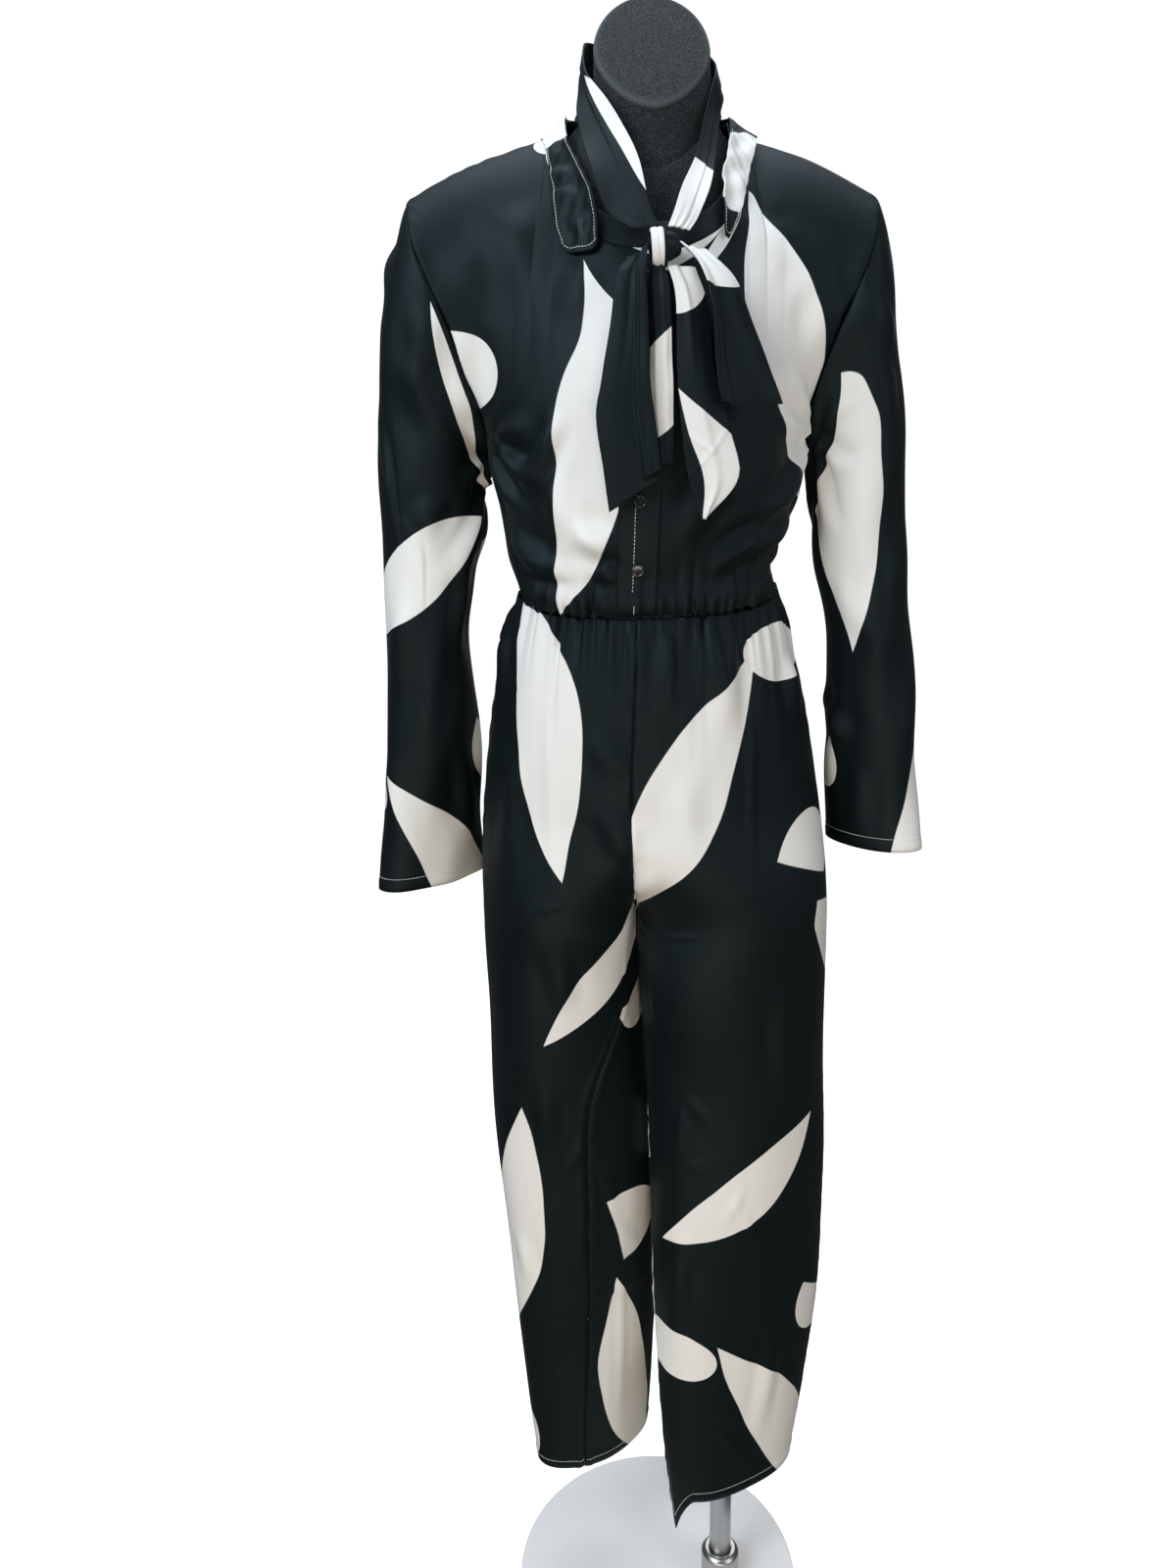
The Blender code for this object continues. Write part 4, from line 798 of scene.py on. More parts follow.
ups = np.concatenate([np.linspace(0, CHEST_SHARE, 57), np.linspace(CHEST_SHARE, 1, 65)[1:]])
shapes = {}
for side, name in ((RIGHT, "bodice_front_right"), (LEFT, "bodice_front_left")):
    shapes[name] = shaped(
        lambda a, u, side=side: blouse(bodice(side, FRONT, a, u)),
        np.linspace(0, 1, 111),
        ups,
        lambda p, n, a, b: bodice_height(p, n, ("start", "high")),
        kink=CHEST_SHARE,
    )
shapes["bodice_back"] = shaped(
    whole_width(lambda side, a, u: blouse(bodice(side, BACK, a, u))),
    np.linspace(0, 1, 197),
    ups,
    lambda p, n, a, b: bodice_height(p, n, ("start", "end", "high")),
    kink=CHEST_SHARE,
)
CUT_PLACE = {
    "bodice_front_right": (0.495, 0.096),
    "bodice_front_left": (0.470, 0.609),
    "bodice_back": (0.36, 0.60),
}
for name, origin in CUT_PLACE.items():
    grid_piece("cloth_" + name, name, shapes[name], satin, origin=origin)


# %% [markdown]
# ## Waist
# The elastic runs in a narrow channel between bodice and trousers. Its cloth is longer than the
# elastic, so it stands in close little gathers with a scalloped edge.


# %% Waist casing
def casing(around, up):
    """The waist's oval, carried up over the height of the channel."""
    turn = around * 2 * np.pi
    _, right, left, centre, front_depth, back_depth = BODICE_ROWS[0]
    sine, cosine = np.sin(turn), np.cos(turn)
    middle = np.where(sine < 0, centre, 0.0)
    reach = np.where(cosine < 0, -right, left)
    x = mix(middle, reach, np.abs(cosine) ** 0.95) * np.where(cosine < 0, 0.915, 0.910)
    y = np.where(sine < 0, front_depth, back_depth) * signed_power(sine, 0.95) * 0.985
    z = waist_height(y) + (up - 0.5) * (CASING_HEIGHT + 0.003)
    return np.stack([x, y, z], -1)


def casing_height(points, normals, around, up):
    """Close gathers about 8 mm apart on a channel that is rounded by 1.2 mm from edge to edge."""
    gathered = 0.0008 * gathers(points, WAIST_MIDDLE, 8, (79, 91, 104, 67))
    return gathered + 0.0012 * (1 - (2 * up - 1) ** 2) - 0.0006


shapes["waist_casing"] = shaped(
    casing, np.linspace(0, 1, 721), np.linspace(0, 1, 9), casing_height, closed=True
)
grid_piece("cloth_waist_casing", "waist_casing", shapes["waist_casing"], plain_satin)


# %% [markdown]
# ## Trousers
# Four long panels. Over the hips they are quarters of an oval that turn under to the crotch;
# below it each leg is an oval section of its own, whose seams turn round it on the way down.

# %% Trouser sizes
TROUSER_HEM, TROUSER_HEM_STITCH = 0.0135, 0.0125
CROTCH_HEIGHT, CROTCH_X, FORK_SHARE, RISE_SHARE = 0.868, -0.018, 0.62, 0.34

# part of the drop, right reach, left reach, centre x, front depth, back depth
RISE_ROWS = (
    (0.00, 0.1335, 0.1270, -0.0185, 0.0990, 0.0850),
    (0.10, 0.1450, 0.1375, -0.0200, 0.1060, 0.0990),
    (0.25, 0.1550, 0.1495, -0.0225, 0.1080, 0.1130),
    (0.45, 0.1630, 0.1600, -0.0245, 0.1080, 0.1210),
    (0.70, 0.1690, 0.1690, -0.0245, 0.1060, 0.1190),
    (0.86, 0.1710, 0.1745, -0.0220, 0.1030, 0.1140),
    (1.00, 0.1715, 0.1770, CROTCH_X, 0.0980, 0.1070),
)

# height, outer x, inner x, middle y, turn of the section, front depth, back depth,
# turn of the side seam and of the inseam round the leg (degrees)
LEG_ROWS = {
    RIGHT: (
        (0.868, -0.1715, -0.0162, 0.000, 0.00, 0.0980, 0.1070, 0, 0),
        (0.835, -0.1720, -0.0140, 0.006, 0.12, 0.0960, 0.1020, 3, 14),
        (0.790, -0.1720, -0.0120, 0.008, 0.17, 0.0920, 0.0960, 8, 34),
        (0.680, -0.1710, -0.0050, 0.010, 0.20, 0.0800, 0.0830, 20, 76),
        (0.540, -0.1660, 0.0045, 0.012, 0.26, 0.0680, 0.0690, 28, 86),
        (0.390, -0.1560, 0.0030, 0.014, 0.32, 0.0580, 0.0560, 32, 90),
        (0.270, -0.1465, -0.0035, 0.016, 0.36, 0.0500, 0.0470, 34, 95),
        (0.190, -0.1400, -0.0090, 0.018, 0.38, 0.0460, 0.0420, 35, 98),
    ),
    LEFT: (
        (0.868, 0.1770, -0.0196, 0.000, 0.00, 0.0980, 0.1070, 0, 0),
        (0.835, 0.1780, -0.0186, -0.004, 0.10, 0.0940, 0.1010, 0, 0),
        (0.790, 0.1790, -0.0165, -0.006, 0.15, 0.0880, 0.0950, 0, 0),
        (0.680, 0.1830, -0.0070, -0.006, 0.15, 0.0740, 0.0810, 0, 0),
        (0.540, 0.1865, -0.0030, -0.010, 0.22, 0.0620, 0.0690, 0, 0),
        (0.390, 0.1835, 0.0000, -0.014, 0.30, 0.0520, 0.0590, 0, 0),
        (0.270, 0.1715, 0.0040, -0.018, 0.38, 0.0450, 0.0530, 0, 0),
        (0.178, 0.1590, 0.0140, -0.020, 0.42, 0.0410, 0.0490, 0, 0),
    ),
}
HEM_TIP_DROP = {RIGHT: 0.0, LEFT: 0.048}
HEM_TIP_ANGLE, HEM_TIP_WIDTH, HEM_TIP_SHARE = 160.0, 30.0, 0.25


# %% Trouser surface
def leg(side, face, across, down):
    """A leg below the crotch, its seams turning round it on the way down."""
    columns = read_columns(LEG_ROWS[side], down)
    height, section, side_turn, inseam_turn = columns[0], columns[1:7], *np.radians(columns[7:])
    angle = mix(-side_turn, -face * np.pi - inseam_turn, across)
    x, y = turned_oval(angle, section, 0.95)
    from_tip = np.degrees(np.abs(np.angle(np.exp(1j * (angle - np.radians(HEM_TIP_ANGLE))))))
    pull = np.clip((down - 1 + HEM_TIP_SHARE) / HEM_TIP_SHARE, 0, 1) ** 2
    tip = np.clip(1 - from_tip / HEM_TIP_WIDTH, 0, 1) ** 1.5
    return np.stack([x, y, height - HEM_TIP_DROP[side] * tip * pull], -1)


def rise_section(side, face, across, share):
    """A quarter of the hips, whose inner end curves under the body towards the crotch."""
    _, right, left, centre, front_depth, back_depth = read_columns(RISE_ROWS, share)
    reach = -right if side == RIGHT else left
    depth = front_depth if face == FRONT else back_depth
    centre = mix(centre, CROTCH_X, 0 if face == FRONT else 0.5)
    hook = np.clip((share - FORK_SHARE) / (1 - FORK_SHARE), 0, 1) ** 1.7 * np.pi / 2
    under = signed_power(np.sin(hook), 0.95)
    half = (centre - reach) / (1 + under)
    angle = across * (np.pi / 2 + hook)
    x = reach + half * (1 - signed_power(np.cos(angle), 0.95))
    y = face * depth * signed_power(np.sin(angle), 0.95)
    start = WAIST_HEIGHT - CASING_HEIGHT / 2
    return np.stack([x, y, mix(start, CROTCH_HEIGHT, share) + WAIST_TILT * y * (1 - share)], -1)


def hitch(points):
    """The trousers' upper edge rises 9 mm at the sides and is drawn in there by 8 mm."""
    below = waist_height(points[..., 1]) - CASING_HEIGHT / 2 - points[..., 2]
    near = (1 - smooth(below / 0.045)) * (1 - smooth(np.abs(points[..., 1]) / 0.085))
    rise = 0.0090 + 0.0022 * gathers(points, WAIST_MIDDLE, 5, CLOSE_FOLDS)
    sides = (1 - smooth(below / 0.030)) * (1 - smooth(np.abs(points[..., 1]) / 0.085))
    inward = unit(points * (1, 1, 0) + 1e-9) * (-0.0080 * sides)[..., None]
    return points + inward + np.array([0, 0, 1.0]) * (rise * near)[..., None]


def trouser(side, face, across, down):
    """A trouser panel: across from the side seam to the centre seam, then to the inseam."""
    rise = rise_section(side, face, across, np.clip(down / RISE_SHARE, 0, 1))
    below = leg(side, face, across, np.clip((down - RISE_SHARE) / (1 - RISE_SHARE), 0, 1))
    return np.where((down < RISE_SHARE)[..., None], rise, below)


# %% Trouser panels
# columns as in the creases of the bodice
TROUSER_CREASES = (
    # front; three rows start behind, at a y of 57 to 90, so they fold the side and the back instead
    (87, -82, 1106, 88, -97, 878, 5, 1.8, 0, 0),
    (63, -84, 1169, 65, -95, 1050, 12, 6.1, 4, 0),
    (41, -91, 1171, 47, -99, 1087, 11, 4.9, 0, 0),
    (9, -97, 1170, 8, -106, 1080, 10, 3.8, 0, 0),
    (-47, 90, 1156, -48, -105, 1102, 10, 4.2, 0, 0),
    (-80, 79, 1162, -75, -99, 1094, 10, 4.2, 0, 0),
    (-112, 57, 1163, -117, -76, 1091, 11, 3.8, -4, 0),
    (-18, -99, 1169, -14, -107, 1099, 9, 3.4, 0, 0),
    (-98, -86, 1110, -102, -99, 898, 6, 1.8, 0, 0),
    (-117, -95, 893, -85, -102, 910, 4, 2.3, 0, 0),
    (-26, -43, 862, 2, -60, 854, 3.5, 1.8, 0, 0),
    (-1, -54, 851, 65, -96, 871, 3.5, 1.5, 0, 0),
    (3, -61, 850, 3, -55, 736, 5, 1.6, 0, 0),
    (123, -44, 1133, 141, -38, 1063, 10, 4.6, 3, 0),
    (-135, -18, 1163, -152, -22, 1076, 10, 4.2, -3, 0),
    (-28, -101, 941, -54, -106, 1009, 13, 4.2, 4, 0),
    (-24, -66, 898, 5, -104, 948, 12, 3.4, 0, 0),
    (-92, -85, 777, -104, -96, 872, 11, 3, 4, 0),
    (-28, -108, 1023, -63, -103, 1077, 13, 2.8, 0, 0),
    (25, -72, 690, 59, -79, 647, 6, 2.4, 0, 0),
    (27, -73, 686, 19, -67, 608, 6, 2.2, 0, 0),
    (90, -74, 582, 66, -75, 534, 5, 2, 0, 0),
    (74, -75, 571, 111, -63, 496, 5, 2, 0, 0),
    (126, -60, 524, 169, -24, 470, 5, 1.8, 0, 0),
    (47, -73, 306, 98, -58, 270, 5, 2.2, 0, 0),
    (73, -68, 335, 50, -73, 310, 5, 1.8, 0, 0),
    (60, -71, 283, 115, -46, 181, 6, 2.2, 0, 0),
    (-60, -50, 593, -40, -35, 518, 6, 2.3, 0, 0),
    (-69, -52, 545, -16, -8, 460, 7, 2.2, 0, 0),
    (-38, -34, 519, -44, -11, 198, 5, 1.9, 0, 0),
    (-149, -46, 518, -138, -47, 438, 9, 2.8, 0, 0),
    (-126, -43, 330, -92, -45, 354, 4, 1.8, 0, 0),
    (-75, -62, 635, -94, -62, 590, 5, 3, 0, 0),
    (-4, 13, 427, 7, -59, 423, 6, 1.9, 0, 0),
    (-72, -60, 616, -14, -11, 592, 4, 1.5, 0, 0),
    (11, -60, 597, 90, -76, 616, 4, 1.5, 0, 0),
    (-114, -75, 710, -113, -63, 591, 9, 2.5, 0, 0),
    (123, -83, 815, 139, -58, 639, 12, 2.8, 4, 0),
    (29, -71, 534, 19, -68, 349, 9, 2.8, 5, 0),
    (126, -53, 409, 108, -51, 226, 10, 2.8, -5, 0),
    (-127, -71, 1053, -146, -71, 918, 12, 2.8, 5, 0),
    (25, -104, 1039, 37, -102, 925, 13, 2.7, 5, 0),
    # back
    (-94, 95, 1089, -96, 106, 861, 5, 1.9, 0, 0),
    (-76, 79, 1170, -79, 109, 1051, 14, 5.1, -4, 0),
    (-46, 87, 1173, -52, 109, 1089, 13, 5.1, 0, 0),
    (-19, 91, 1168, -19, 114, 1078, 10, 2.8, 0, 0),
    (63, 82, 1150, 58, 102, 1082, 11, 4.6, 0, 0),
    (116, 42, 1162, 121, 63, 1090, 12, 3.4, 4, 0),
    (97, 72, 1125, 101, 106, 912, 6, 1.8, 0, 0),
    (-130, 46, 1137, -149, 41, 1067, 11, 4.6, -3, 0),
    (23, 116, 949, 49, 113, 1016, 15, 3.2, -4, 0),
    (8, 85, 884, -21, 104, 934, 14, 2.8, 0, 0),
    (16, 119, 1005, 51, 108, 1059, 15, 2.7, 0, 0),
    (-21, 71, 684, -54, 91, 641, 6, 2.2, 0, 0),
    (-34, 83, 694, -26, 79, 616, 6, 2.3, 0, 0),
    (-98, 79, 590, -74, 81, 542, 7, 1.8, 0, 0),
    (-123, 58, 513, -150, 26, 480, 7, 1.6, 0, 0),
    (-60, 67, 284, -109, 41, 192, 8, 2.7, 0, 0),
    (33, 26, 501, 38, -3, 180, 5, 1.8, 0, 0),
    (144, 58, 532, 133, 56, 451, 9, 2.1, 0, 0),
    (71, 64, 635, 90, 64, 590, 7, 3, 0, 0),
    (-16, 74, 600, -95, 85, 619, 5, 1.4, 0, 0),
    (112, 77, 700, 111, 65, 581, 10, 2.5, 0, 0),
    (-135, 87, 835, -151, 46, 659, 13, 2.8, -4, 0),
    (-19, 120, 1031, -31, 98, 917, 15, 2.3, -5, 0),
)


def trouser_height(points, normals, across, down):
    """Gathers below the waist, folds, waves, the seams and the turned hem."""
    below_waist = waist_height(points[..., 1]) - points[..., 2]
    fade = np.exp(-((below_waist.clip(0) / 0.062) ** 1.3))
    height = 0.0078 * gathers(points, WAIST_MIDDLE, 3, WIDE_FOLDS) * fade
    close = np.exp(-((below_waist / 0.018) ** 2))
    height += 0.0036 * gathers(points, WAIST_MIDDLE, 8, CLOSE_FOLDS) * close
    height += 0.0048 * pleats(points, WAIST_MIDDLE, 6, 0.040, below_waist)
    height += 1.2 * crease_height(points, normals, TROUSER_CREASES)
    height += 0.0014 * waves(points, 0.15, 11) * smooth(below_waist / 0.08)
    run = points[..., 2]
    height += seam_pucker(edge_distance(points, "start"), run)
    inner = edge_distance(points, "end")
    height += seam_pucker(inner, run, 2.0)
    height += 0.0014 * np.exp(-(((inner - 0.006) / 0.004) ** 2)) * smooth((down - RISE_SHARE) / 0.05)
    hem = edge_distance(points, "high")
    height += 0.0007 * smooth((TROUSER_HEM - hem) / 0.001)
    return height


downs = np.concatenate([np.linspace(0, 1, 92) ** 1.15 * RISE_SHARE, np.linspace(RISE_SHARE, 1, 131)[1:]])
TROUSER_CUTS = {
    "trouser_front_right": (RIGHT, FRONT, (0.108, 0.636)),
    "trouser_front_left": (LEFT, FRONT, (0.331, 0.634)),
    "trouser_back_right": (RIGHT, BACK, (0.579, 0.809)),
    "trouser_back_left": (LEFT, BACK, (0.10, 0.84)),
}
for name, (side, face, origin) in TROUSER_CUTS.items():
    shapes[name] = shaped(
        lambda a, d, side=side, face=face: hitch(trouser(side, face, a, d)),
        np.linspace(0, 1, 93),
        downs,
        trouser_height,
        kink=RISE_SHARE,
    )
    grid_piece("cloth_" + name, name, shapes[name], satin, origin=origin)


# %% [markdown]
# ## Sleeves
# A sleeve leaves the armhole outwards, rounds over the upper arm and hangs as a flattened tube.

# %% Sleeve sizes
# height, outer x, inner x, middle y, turn of the section, front depth, back depth
SLEEVE_ROWS = {
    RIGHT: (
        (1.245, -0.2515, -0.1560, 0.000, 0.10, 0.0470, 0.0470),
        (1.190, -0.2530, -0.1690, 0.000, 0.15, 0.0480, 0.0470),
        (1.140, -0.2555, -0.1775, 0.001, 0.20, 0.0480, 0.0470),
        (1.060, -0.2595, -0.1715, 0.003, 0.35, 0.0430, 0.0430),
        (0.975, -0.2670, -0.1740, 0.008, 0.50, 0.0370, 0.0390),
        (0.897, -0.2735, -0.1770, 0.012, 0.62, 0.0340, 0.0360),
    ),
    LEFT: (
        (1.250, 0.2390, 0.1540, 0.000, 0.00, 0.0470, 0.0470),
        (1.200, 0.2440, 0.1570, 0.000, -0.05, 0.0470, 0.0470),
        (1.140, 0.2495, 0.1720, 0.001, -0.10, 0.0480, 0.0470),
        (1.070, 0.2565, 0.1765, 0.003, -0.20, 0.0450, 0.0440),
        (1.000, 0.2635, 0.1785, 0.006, -0.30, 0.0420, 0.0410),
        (0.927, 0.2705, 0.1830, 0.008, -0.40, 0.0400, 0.0400),
    ),
}
CUFF_HEM, CUFF_HEM_STITCH = 0.0125, 0.0115
CAP_SHARE = 0.40
CAP_LEAN = (0.50, -0.86)


# %% Sleeve surface
def armhole_loop(side, around):
    """The whole armhole: 0 at the underarm, up the front to the shoulder at 0.5, down the back."""
    upward = np.minimum(around, 1 - around) * 2
    rise = np.sin(upward * np.pi / 2)
    front_edge = armhole(side, FRONT, rise)
    back_edge = armhole(side, BACK, rise)
    return np.where((around <= 0.5)[..., None], front_edge, back_edge)


def sleeve_section(side, around, share):
    """A level oval through the sleeve, with its centre line turned."""
    height, outer, inner, *rest = read_columns(SLEEVE_ROWS[side], share)
    x, y = turned_oval(around * 2 * np.pi, (inner, outer, *rest), 1.0)
    return np.stack([x, y, height + 0 * x], -1)


def sleeve(side, around, down):
    """A Hermite curve from the armhole to the first level section, then the hanging tube."""
    start = armhole_loop(side, around)
    end = sleeve_section(side, around, np.zeros_like(around))
    span = np.linalg.norm(end - start, axis=-1, keepdims=True)
    u = np.clip(down / CAP_SHARE, 0, 1)[..., None]
    leave = span * np.array([side * CAP_LEAN[0], 0, CAP_LEAN[1]])
    arrive = span * np.array([0, 0, -1.0])
    cap = (
        (2 * u**3 - 3 * u**2 + 1) * start
        + (u**3 - 2 * u**2 + u) * leave
        + (3 * u**2 - 2 * u**3) * end
        + (u**3 - u**2) * arrive
    )
    tube = sleeve_section(side, around, np.clip((down - CAP_SHARE) / (1 - CAP_SHARE), 0, 1))
    return np.where((down < CAP_SHARE)[..., None], cap, tube)


# %% Sleeve pieces
# columns as in the creases of the bodice
SLEEVE_CREASES = (
    # front
    (-208, 43, 1500, -213, -57, 1430, 12, 4.2, -4, 0),
    (-193, 54, 1457, -180, -53, 1395, 12, 3.4, 4, 0),
    (-178, -50, 1384, -153, 17, 1330, 9, 4.9, 5, 0),
    (-216, -55, 1406, -173, -35, 1318, 12, 3.4, 6, 0),
    (-152, -3, 1303, -200, -43, 1187, 9, 4.6, -8, 1),
    (-152, 12, 1321, -173, -40, 1343, 7, 3.2, 0, 1),
    (-152, 6, 1310, -174, -34, 1283, 8, 4.6, 4, 1),
    (-222, -47, 1197, -245, -39, 1076, 12, 3.4, 5, 0),
    (-205, -45, 1179, -229, -37, 1018, 11, 3, -5, 0),
    (-171, -25, 1230, -184, -18, 1109, 9, 3.4, 4, 0),
    (-252, -33, 1047, -248, -33, 927, 12, 3, 3, 0),
    (-187, -18, 1061, -184, 14, 931, 10, 2.8, 3, 0),
    (-196, -59, 1447, -209, -53, 1351, 12, 2.8, -5, 0),
    (-187, -43, 1284, -211, -47, 1232, 10, 3, 5, 0),
    (160, -42, 1361, 203, 35, 1493, 10, 4.2, 6, 0),
    (153, -25, 1321, 180, -44, 1288, 8, 4.9, 4, 1),
    (152, -21, 1316, 169, -33, 1224, 8, 4.9, 5, 1),
    (194, -59, 1434, 205, -47, 1301, 14, 3.6, 6, 0),
    (157, -31, 1328, 170, -47, 1360, 7, 3, 0, 1),
    (176, -37, 1206, 204, -44, 1133, 11, 3.4, 6, 0),
    (178, 24, 1094, 203, -30, 1026, 10, 3.8, 5, 0),
    (183, -20, 1102, 180, 16, 985, 10, 3.4, -4, 0),
    (214, -44, 1223, 214, -44, 1096, 13, 3.4, 5, 0),
    (203, -29, 1016, 202, -15, 932, 10, 2.8, 0, 0),
    (213, -51, 1392, 216, -45, 1318, 12, 2.7, 0, 0),
    # back
    (-208, 45, 1496, -213, 54, 1426, 14, 4.6, 4, 0),
    (-178, 46, 1373, -153, 13, 1320, 9, 4.9, -5, 0),
    (-152, 2, 1301, -200, 46, 1186, 11, 3.8, 8, 1),
    (-154, 1, 1292, -174, 39, 1268, 8, 4.4, -4, 1),
    (-205, 47, 1191, -229, 39, 1030, 13, 2.5, 5, 0),
    (-252, 13, 1059, -248, 27, 939, 14, 3, -3, 0),
    (-196, 56, 1462, -209, 52, 1369, 13, 3, 5, 0),
    (160, 43, 1373, 203, 25, 1506, 10, 4.2, -6, 0),
    (152, 18, 1312, 169, 35, 1220, 8, 4.8, -5, 1),
    (157, 33, 1346, 170, 47, 1379, 9, 3.8, 0, 1),
    (178, 24, 1091, 203, 48, 1023, 10, 3.6, -5, 0),
    (214, 43, 1240, 214, 48, 1113, 14, 3.8, -5, 0),
    (213, 49, 1405, 216, 45, 1331, 12, 2.1, 0, 0),
)


def sleeve_height(points, normals, around, down):
    """Folds, waves, the armhole seam and the turned cuff hem."""
    height = 1.25 * crease_height(points, normals, SLEEVE_CREASES)
    height += 0.0018 * waves(points, 0.11, 21) * smooth(down / 0.1)
    height += seam_pucker(edge_distance(points, "low"), around * 0.5)
    hem = edge_distance(points, "high")
    height += 0.0007 * smooth((CUFF_HEM - hem) / 0.001)
    outer = smooth((np.abs(points[..., 0]) - 0.19) / 0.04)
    flatter = np.where(points[..., 0] > 0, 0.0100, 0.0060) * outer
    height -= flatter * np.exp(-(((points[..., 2] - 1.42) / 0.085) ** 2))
    return height


sleeve_downs = np.concatenate([np.linspace(0, CAP_SHARE, 67), np.linspace(CAP_SHARE, 1, 91)[1:]])
SLEEVE_CUTS = {"sleeve_right": (RIGHT, (0.379, 0.921)), "sleeve_left": (LEFT, (0.671, 0.049))}
for name, (side, origin) in SLEEVE_CUTS.items():
    shapes[name] = shaped(
        lambda a, d, side=side: sleeve(side, a, d),
        np.linspace(0, 1, 133),
        sleeve_downs,
        sleeve_height,
        closed=True,
        kink=CAP_SHARE,
    )
    grid_piece("cloth_" + name, name, shapes[name], satin, origin=origin)


# %% [markdown]
# ## Front placket and buttons
# The right front laps over the left in a strip 36 mm wide, stitched down near its edge. It lies
# on the folded cloth, so each of its points is found on the front first and then lifted off it.


# %% Places on the front
def front_place(x, z):
    """Where a given x and height lie on both fronts together, by Newton's steps in two numbers."""
    both = whole_width(lambda side, a, u: blouse(bodice(side, FRONT, a, u)))
    x, z = np.broadcast_arrays(np.asarray(x, float), np.asarray(z, float))
    across = 0.5 + 0.25 * x / 0.10
    up = CHEST_SHARE * (z - 1.19) / 0.15
    up = np.where(up > CHEST_SHARE, CHEST_SHARE + (z - 1.34) / 0.30, up)
    step = 1e-4
    for _ in range(40):
        at = both(across, up)
        sideways = (both(across + step, up) - at) / step
        onwards = (both(across, up + step) - at) / step
        dx, dz = x - at[..., 0], z - at[..., 2]
        det = sideways[..., 0] * onwards[..., 2] - sideways[..., 2] * onwards[..., 0]
        det = np.where(np.abs(det) < 1e-6, 1e-6, det)
        a_step = (dx * onwards[..., 2] - dz * onwards[..., 0]) / det
        u_step = (dz * sideways[..., 0] - dx * sideways[..., 2]) / det
        across = np.clip(across + np.clip(0.6 * a_step, -0.05, 0.05), 0.001, 0.998)
        up = np.clip(up + np.clip(0.6 * u_step, -0.05, 0.05), 0.001, 0.998)
    return across, up


def on_front(x, z, lift):
    """Points on the folded cloth of the fronts at a given x and height, moved out by the lift."""
    across, up = front_place(x, z)
    right = sample(shapes["bodice_front_right"], np.clip(2 * across, 0, 1), up)
    left = sample(shapes["bodice_front_left"], np.clip(2 - 2 * across, 0, 1), up)
    on_right = (across < 0.5)[..., None]
    points = np.where(on_right, right[0], left[0])
    normals = np.where(on_right, right[1], left[1])
    return points + normals * np.asarray(lift)[..., None], normals


# %% Stitches
def thread_run(points, normals, pitch=0.0032, lift=0.0002):
    """Evenly spaced places along a line of points: centres, directions and normals."""
    steps = np.linalg.norm(np.diff(points, axis=0), axis=-1)
    far = np.concatenate([[0.0], np.cumsum(steps)])
    at = np.arange(pitch / 2, far[-1], pitch)
    centre, ahead, normal = (
        np.stack([np.interp(where, far, values[:, k]) for k in range(3)], -1)
        for where, values in ((at, points), (at + 0.0008, points), (at, normals))
    )
    normal = unit(normal)
    return centre + normal * lift, unit(ahead - centre + 1e-9), normal


def stitch_mesh(name, runs, material, length=0.0023, radius=0.00026):
    """Many stitches in one mesh: each is a rod with round ends, six sides and four rings."""
    centre, line, normal = (np.concatenate([run[k] for run in runs]) for k in range(3))
    side = unit(np.cross(line, normal))
    normal = unit(np.cross(side, line))
    ring = np.array([(-0.5, 0.25), (-0.34, 1.0), (0.34, 1.0), (0.5, 0.25)])
    turn = np.arange(6) * np.pi / 3
    x = np.repeat(ring[:, 0] * length, 6)
    y = (ring[:, 1:] * radius * np.cos(turn)).reshape(-1)
    z = (ring[:, 1:] * radius * np.sin(turn)).reshape(-1) - np.repeat(
        0.9 * radius * (np.abs(ring[:, 0]) > 0.4), 6
    )
    points = (
        centre[:, None]
        + line[:, None] * x[:, None]
        + side[:, None] * y[:, None]
        + normal[:, None] * z[:, None]
    )
    here = np.arange(3)[:, None] * 6 + np.arange(6)
    after = np.arange(3)[:, None] * 6 + (np.arange(6) + 1) % 6
    faces = np.stack([here, after, after + 6, here + 6], -1).reshape(-1, 4)
    faces = (faces[None] + 24 * np.arange(len(centre))[:, None, None]).reshape(-1, 4)
    ends = np.stack([np.arange(6)[::-1], np.arange(6) + 18])
    ends = (ends[None] + 24 * np.arange(len(centre))[:, None, None]).reshape(-1, 6)
    mesh = bpy.data.meshes.new(name)
    mesh.from_pydata(points.reshape(-1, 3).tolist(), [], faces.tolist() + ends.tolist())
    mesh.validate()
    mesh.shade_smooth()
    mesh.materials.append(material)
    piece = new_object(name, mesh)
    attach(piece, "root")
    print(name, "stitches", len(centre))
    return piece


def thread_finish(name, code, pale):
    """Spun polyester sewing thread: matt, with its twist too fine to draw."""
    material, tree, shader = new_finish(name, Roughness=0.6)
    own = add(tree, "TexCoord").outputs["Object"]
    tree.links.new(blend(tree, noise(tree, own, 900.0), code, pale), shader.inputs["Base Color"])
    return material


white_thread = thread_finish("white_spun_polyester_thread", "#d9d8d2", "#f4f3ee")

# %% Placket
PLACKET_WIDTH, PLACKET_RANGE = 0.036, (1.1745, 1.455)
placket_across = np.linspace(0, 1, 19)
placket_up = np.linspace(0, 1, 121)
grid_a, grid_u = np.meshgrid(placket_across, placket_up, indexing="ij")


def placket_x(across, z):
    """The strip's centre leans a little to the wearer's left on the way up."""
    return -0.0185 + 0.0105 * (z - 1.185) / 0.27 + (across - 0.5) * PLACKET_WIDTH


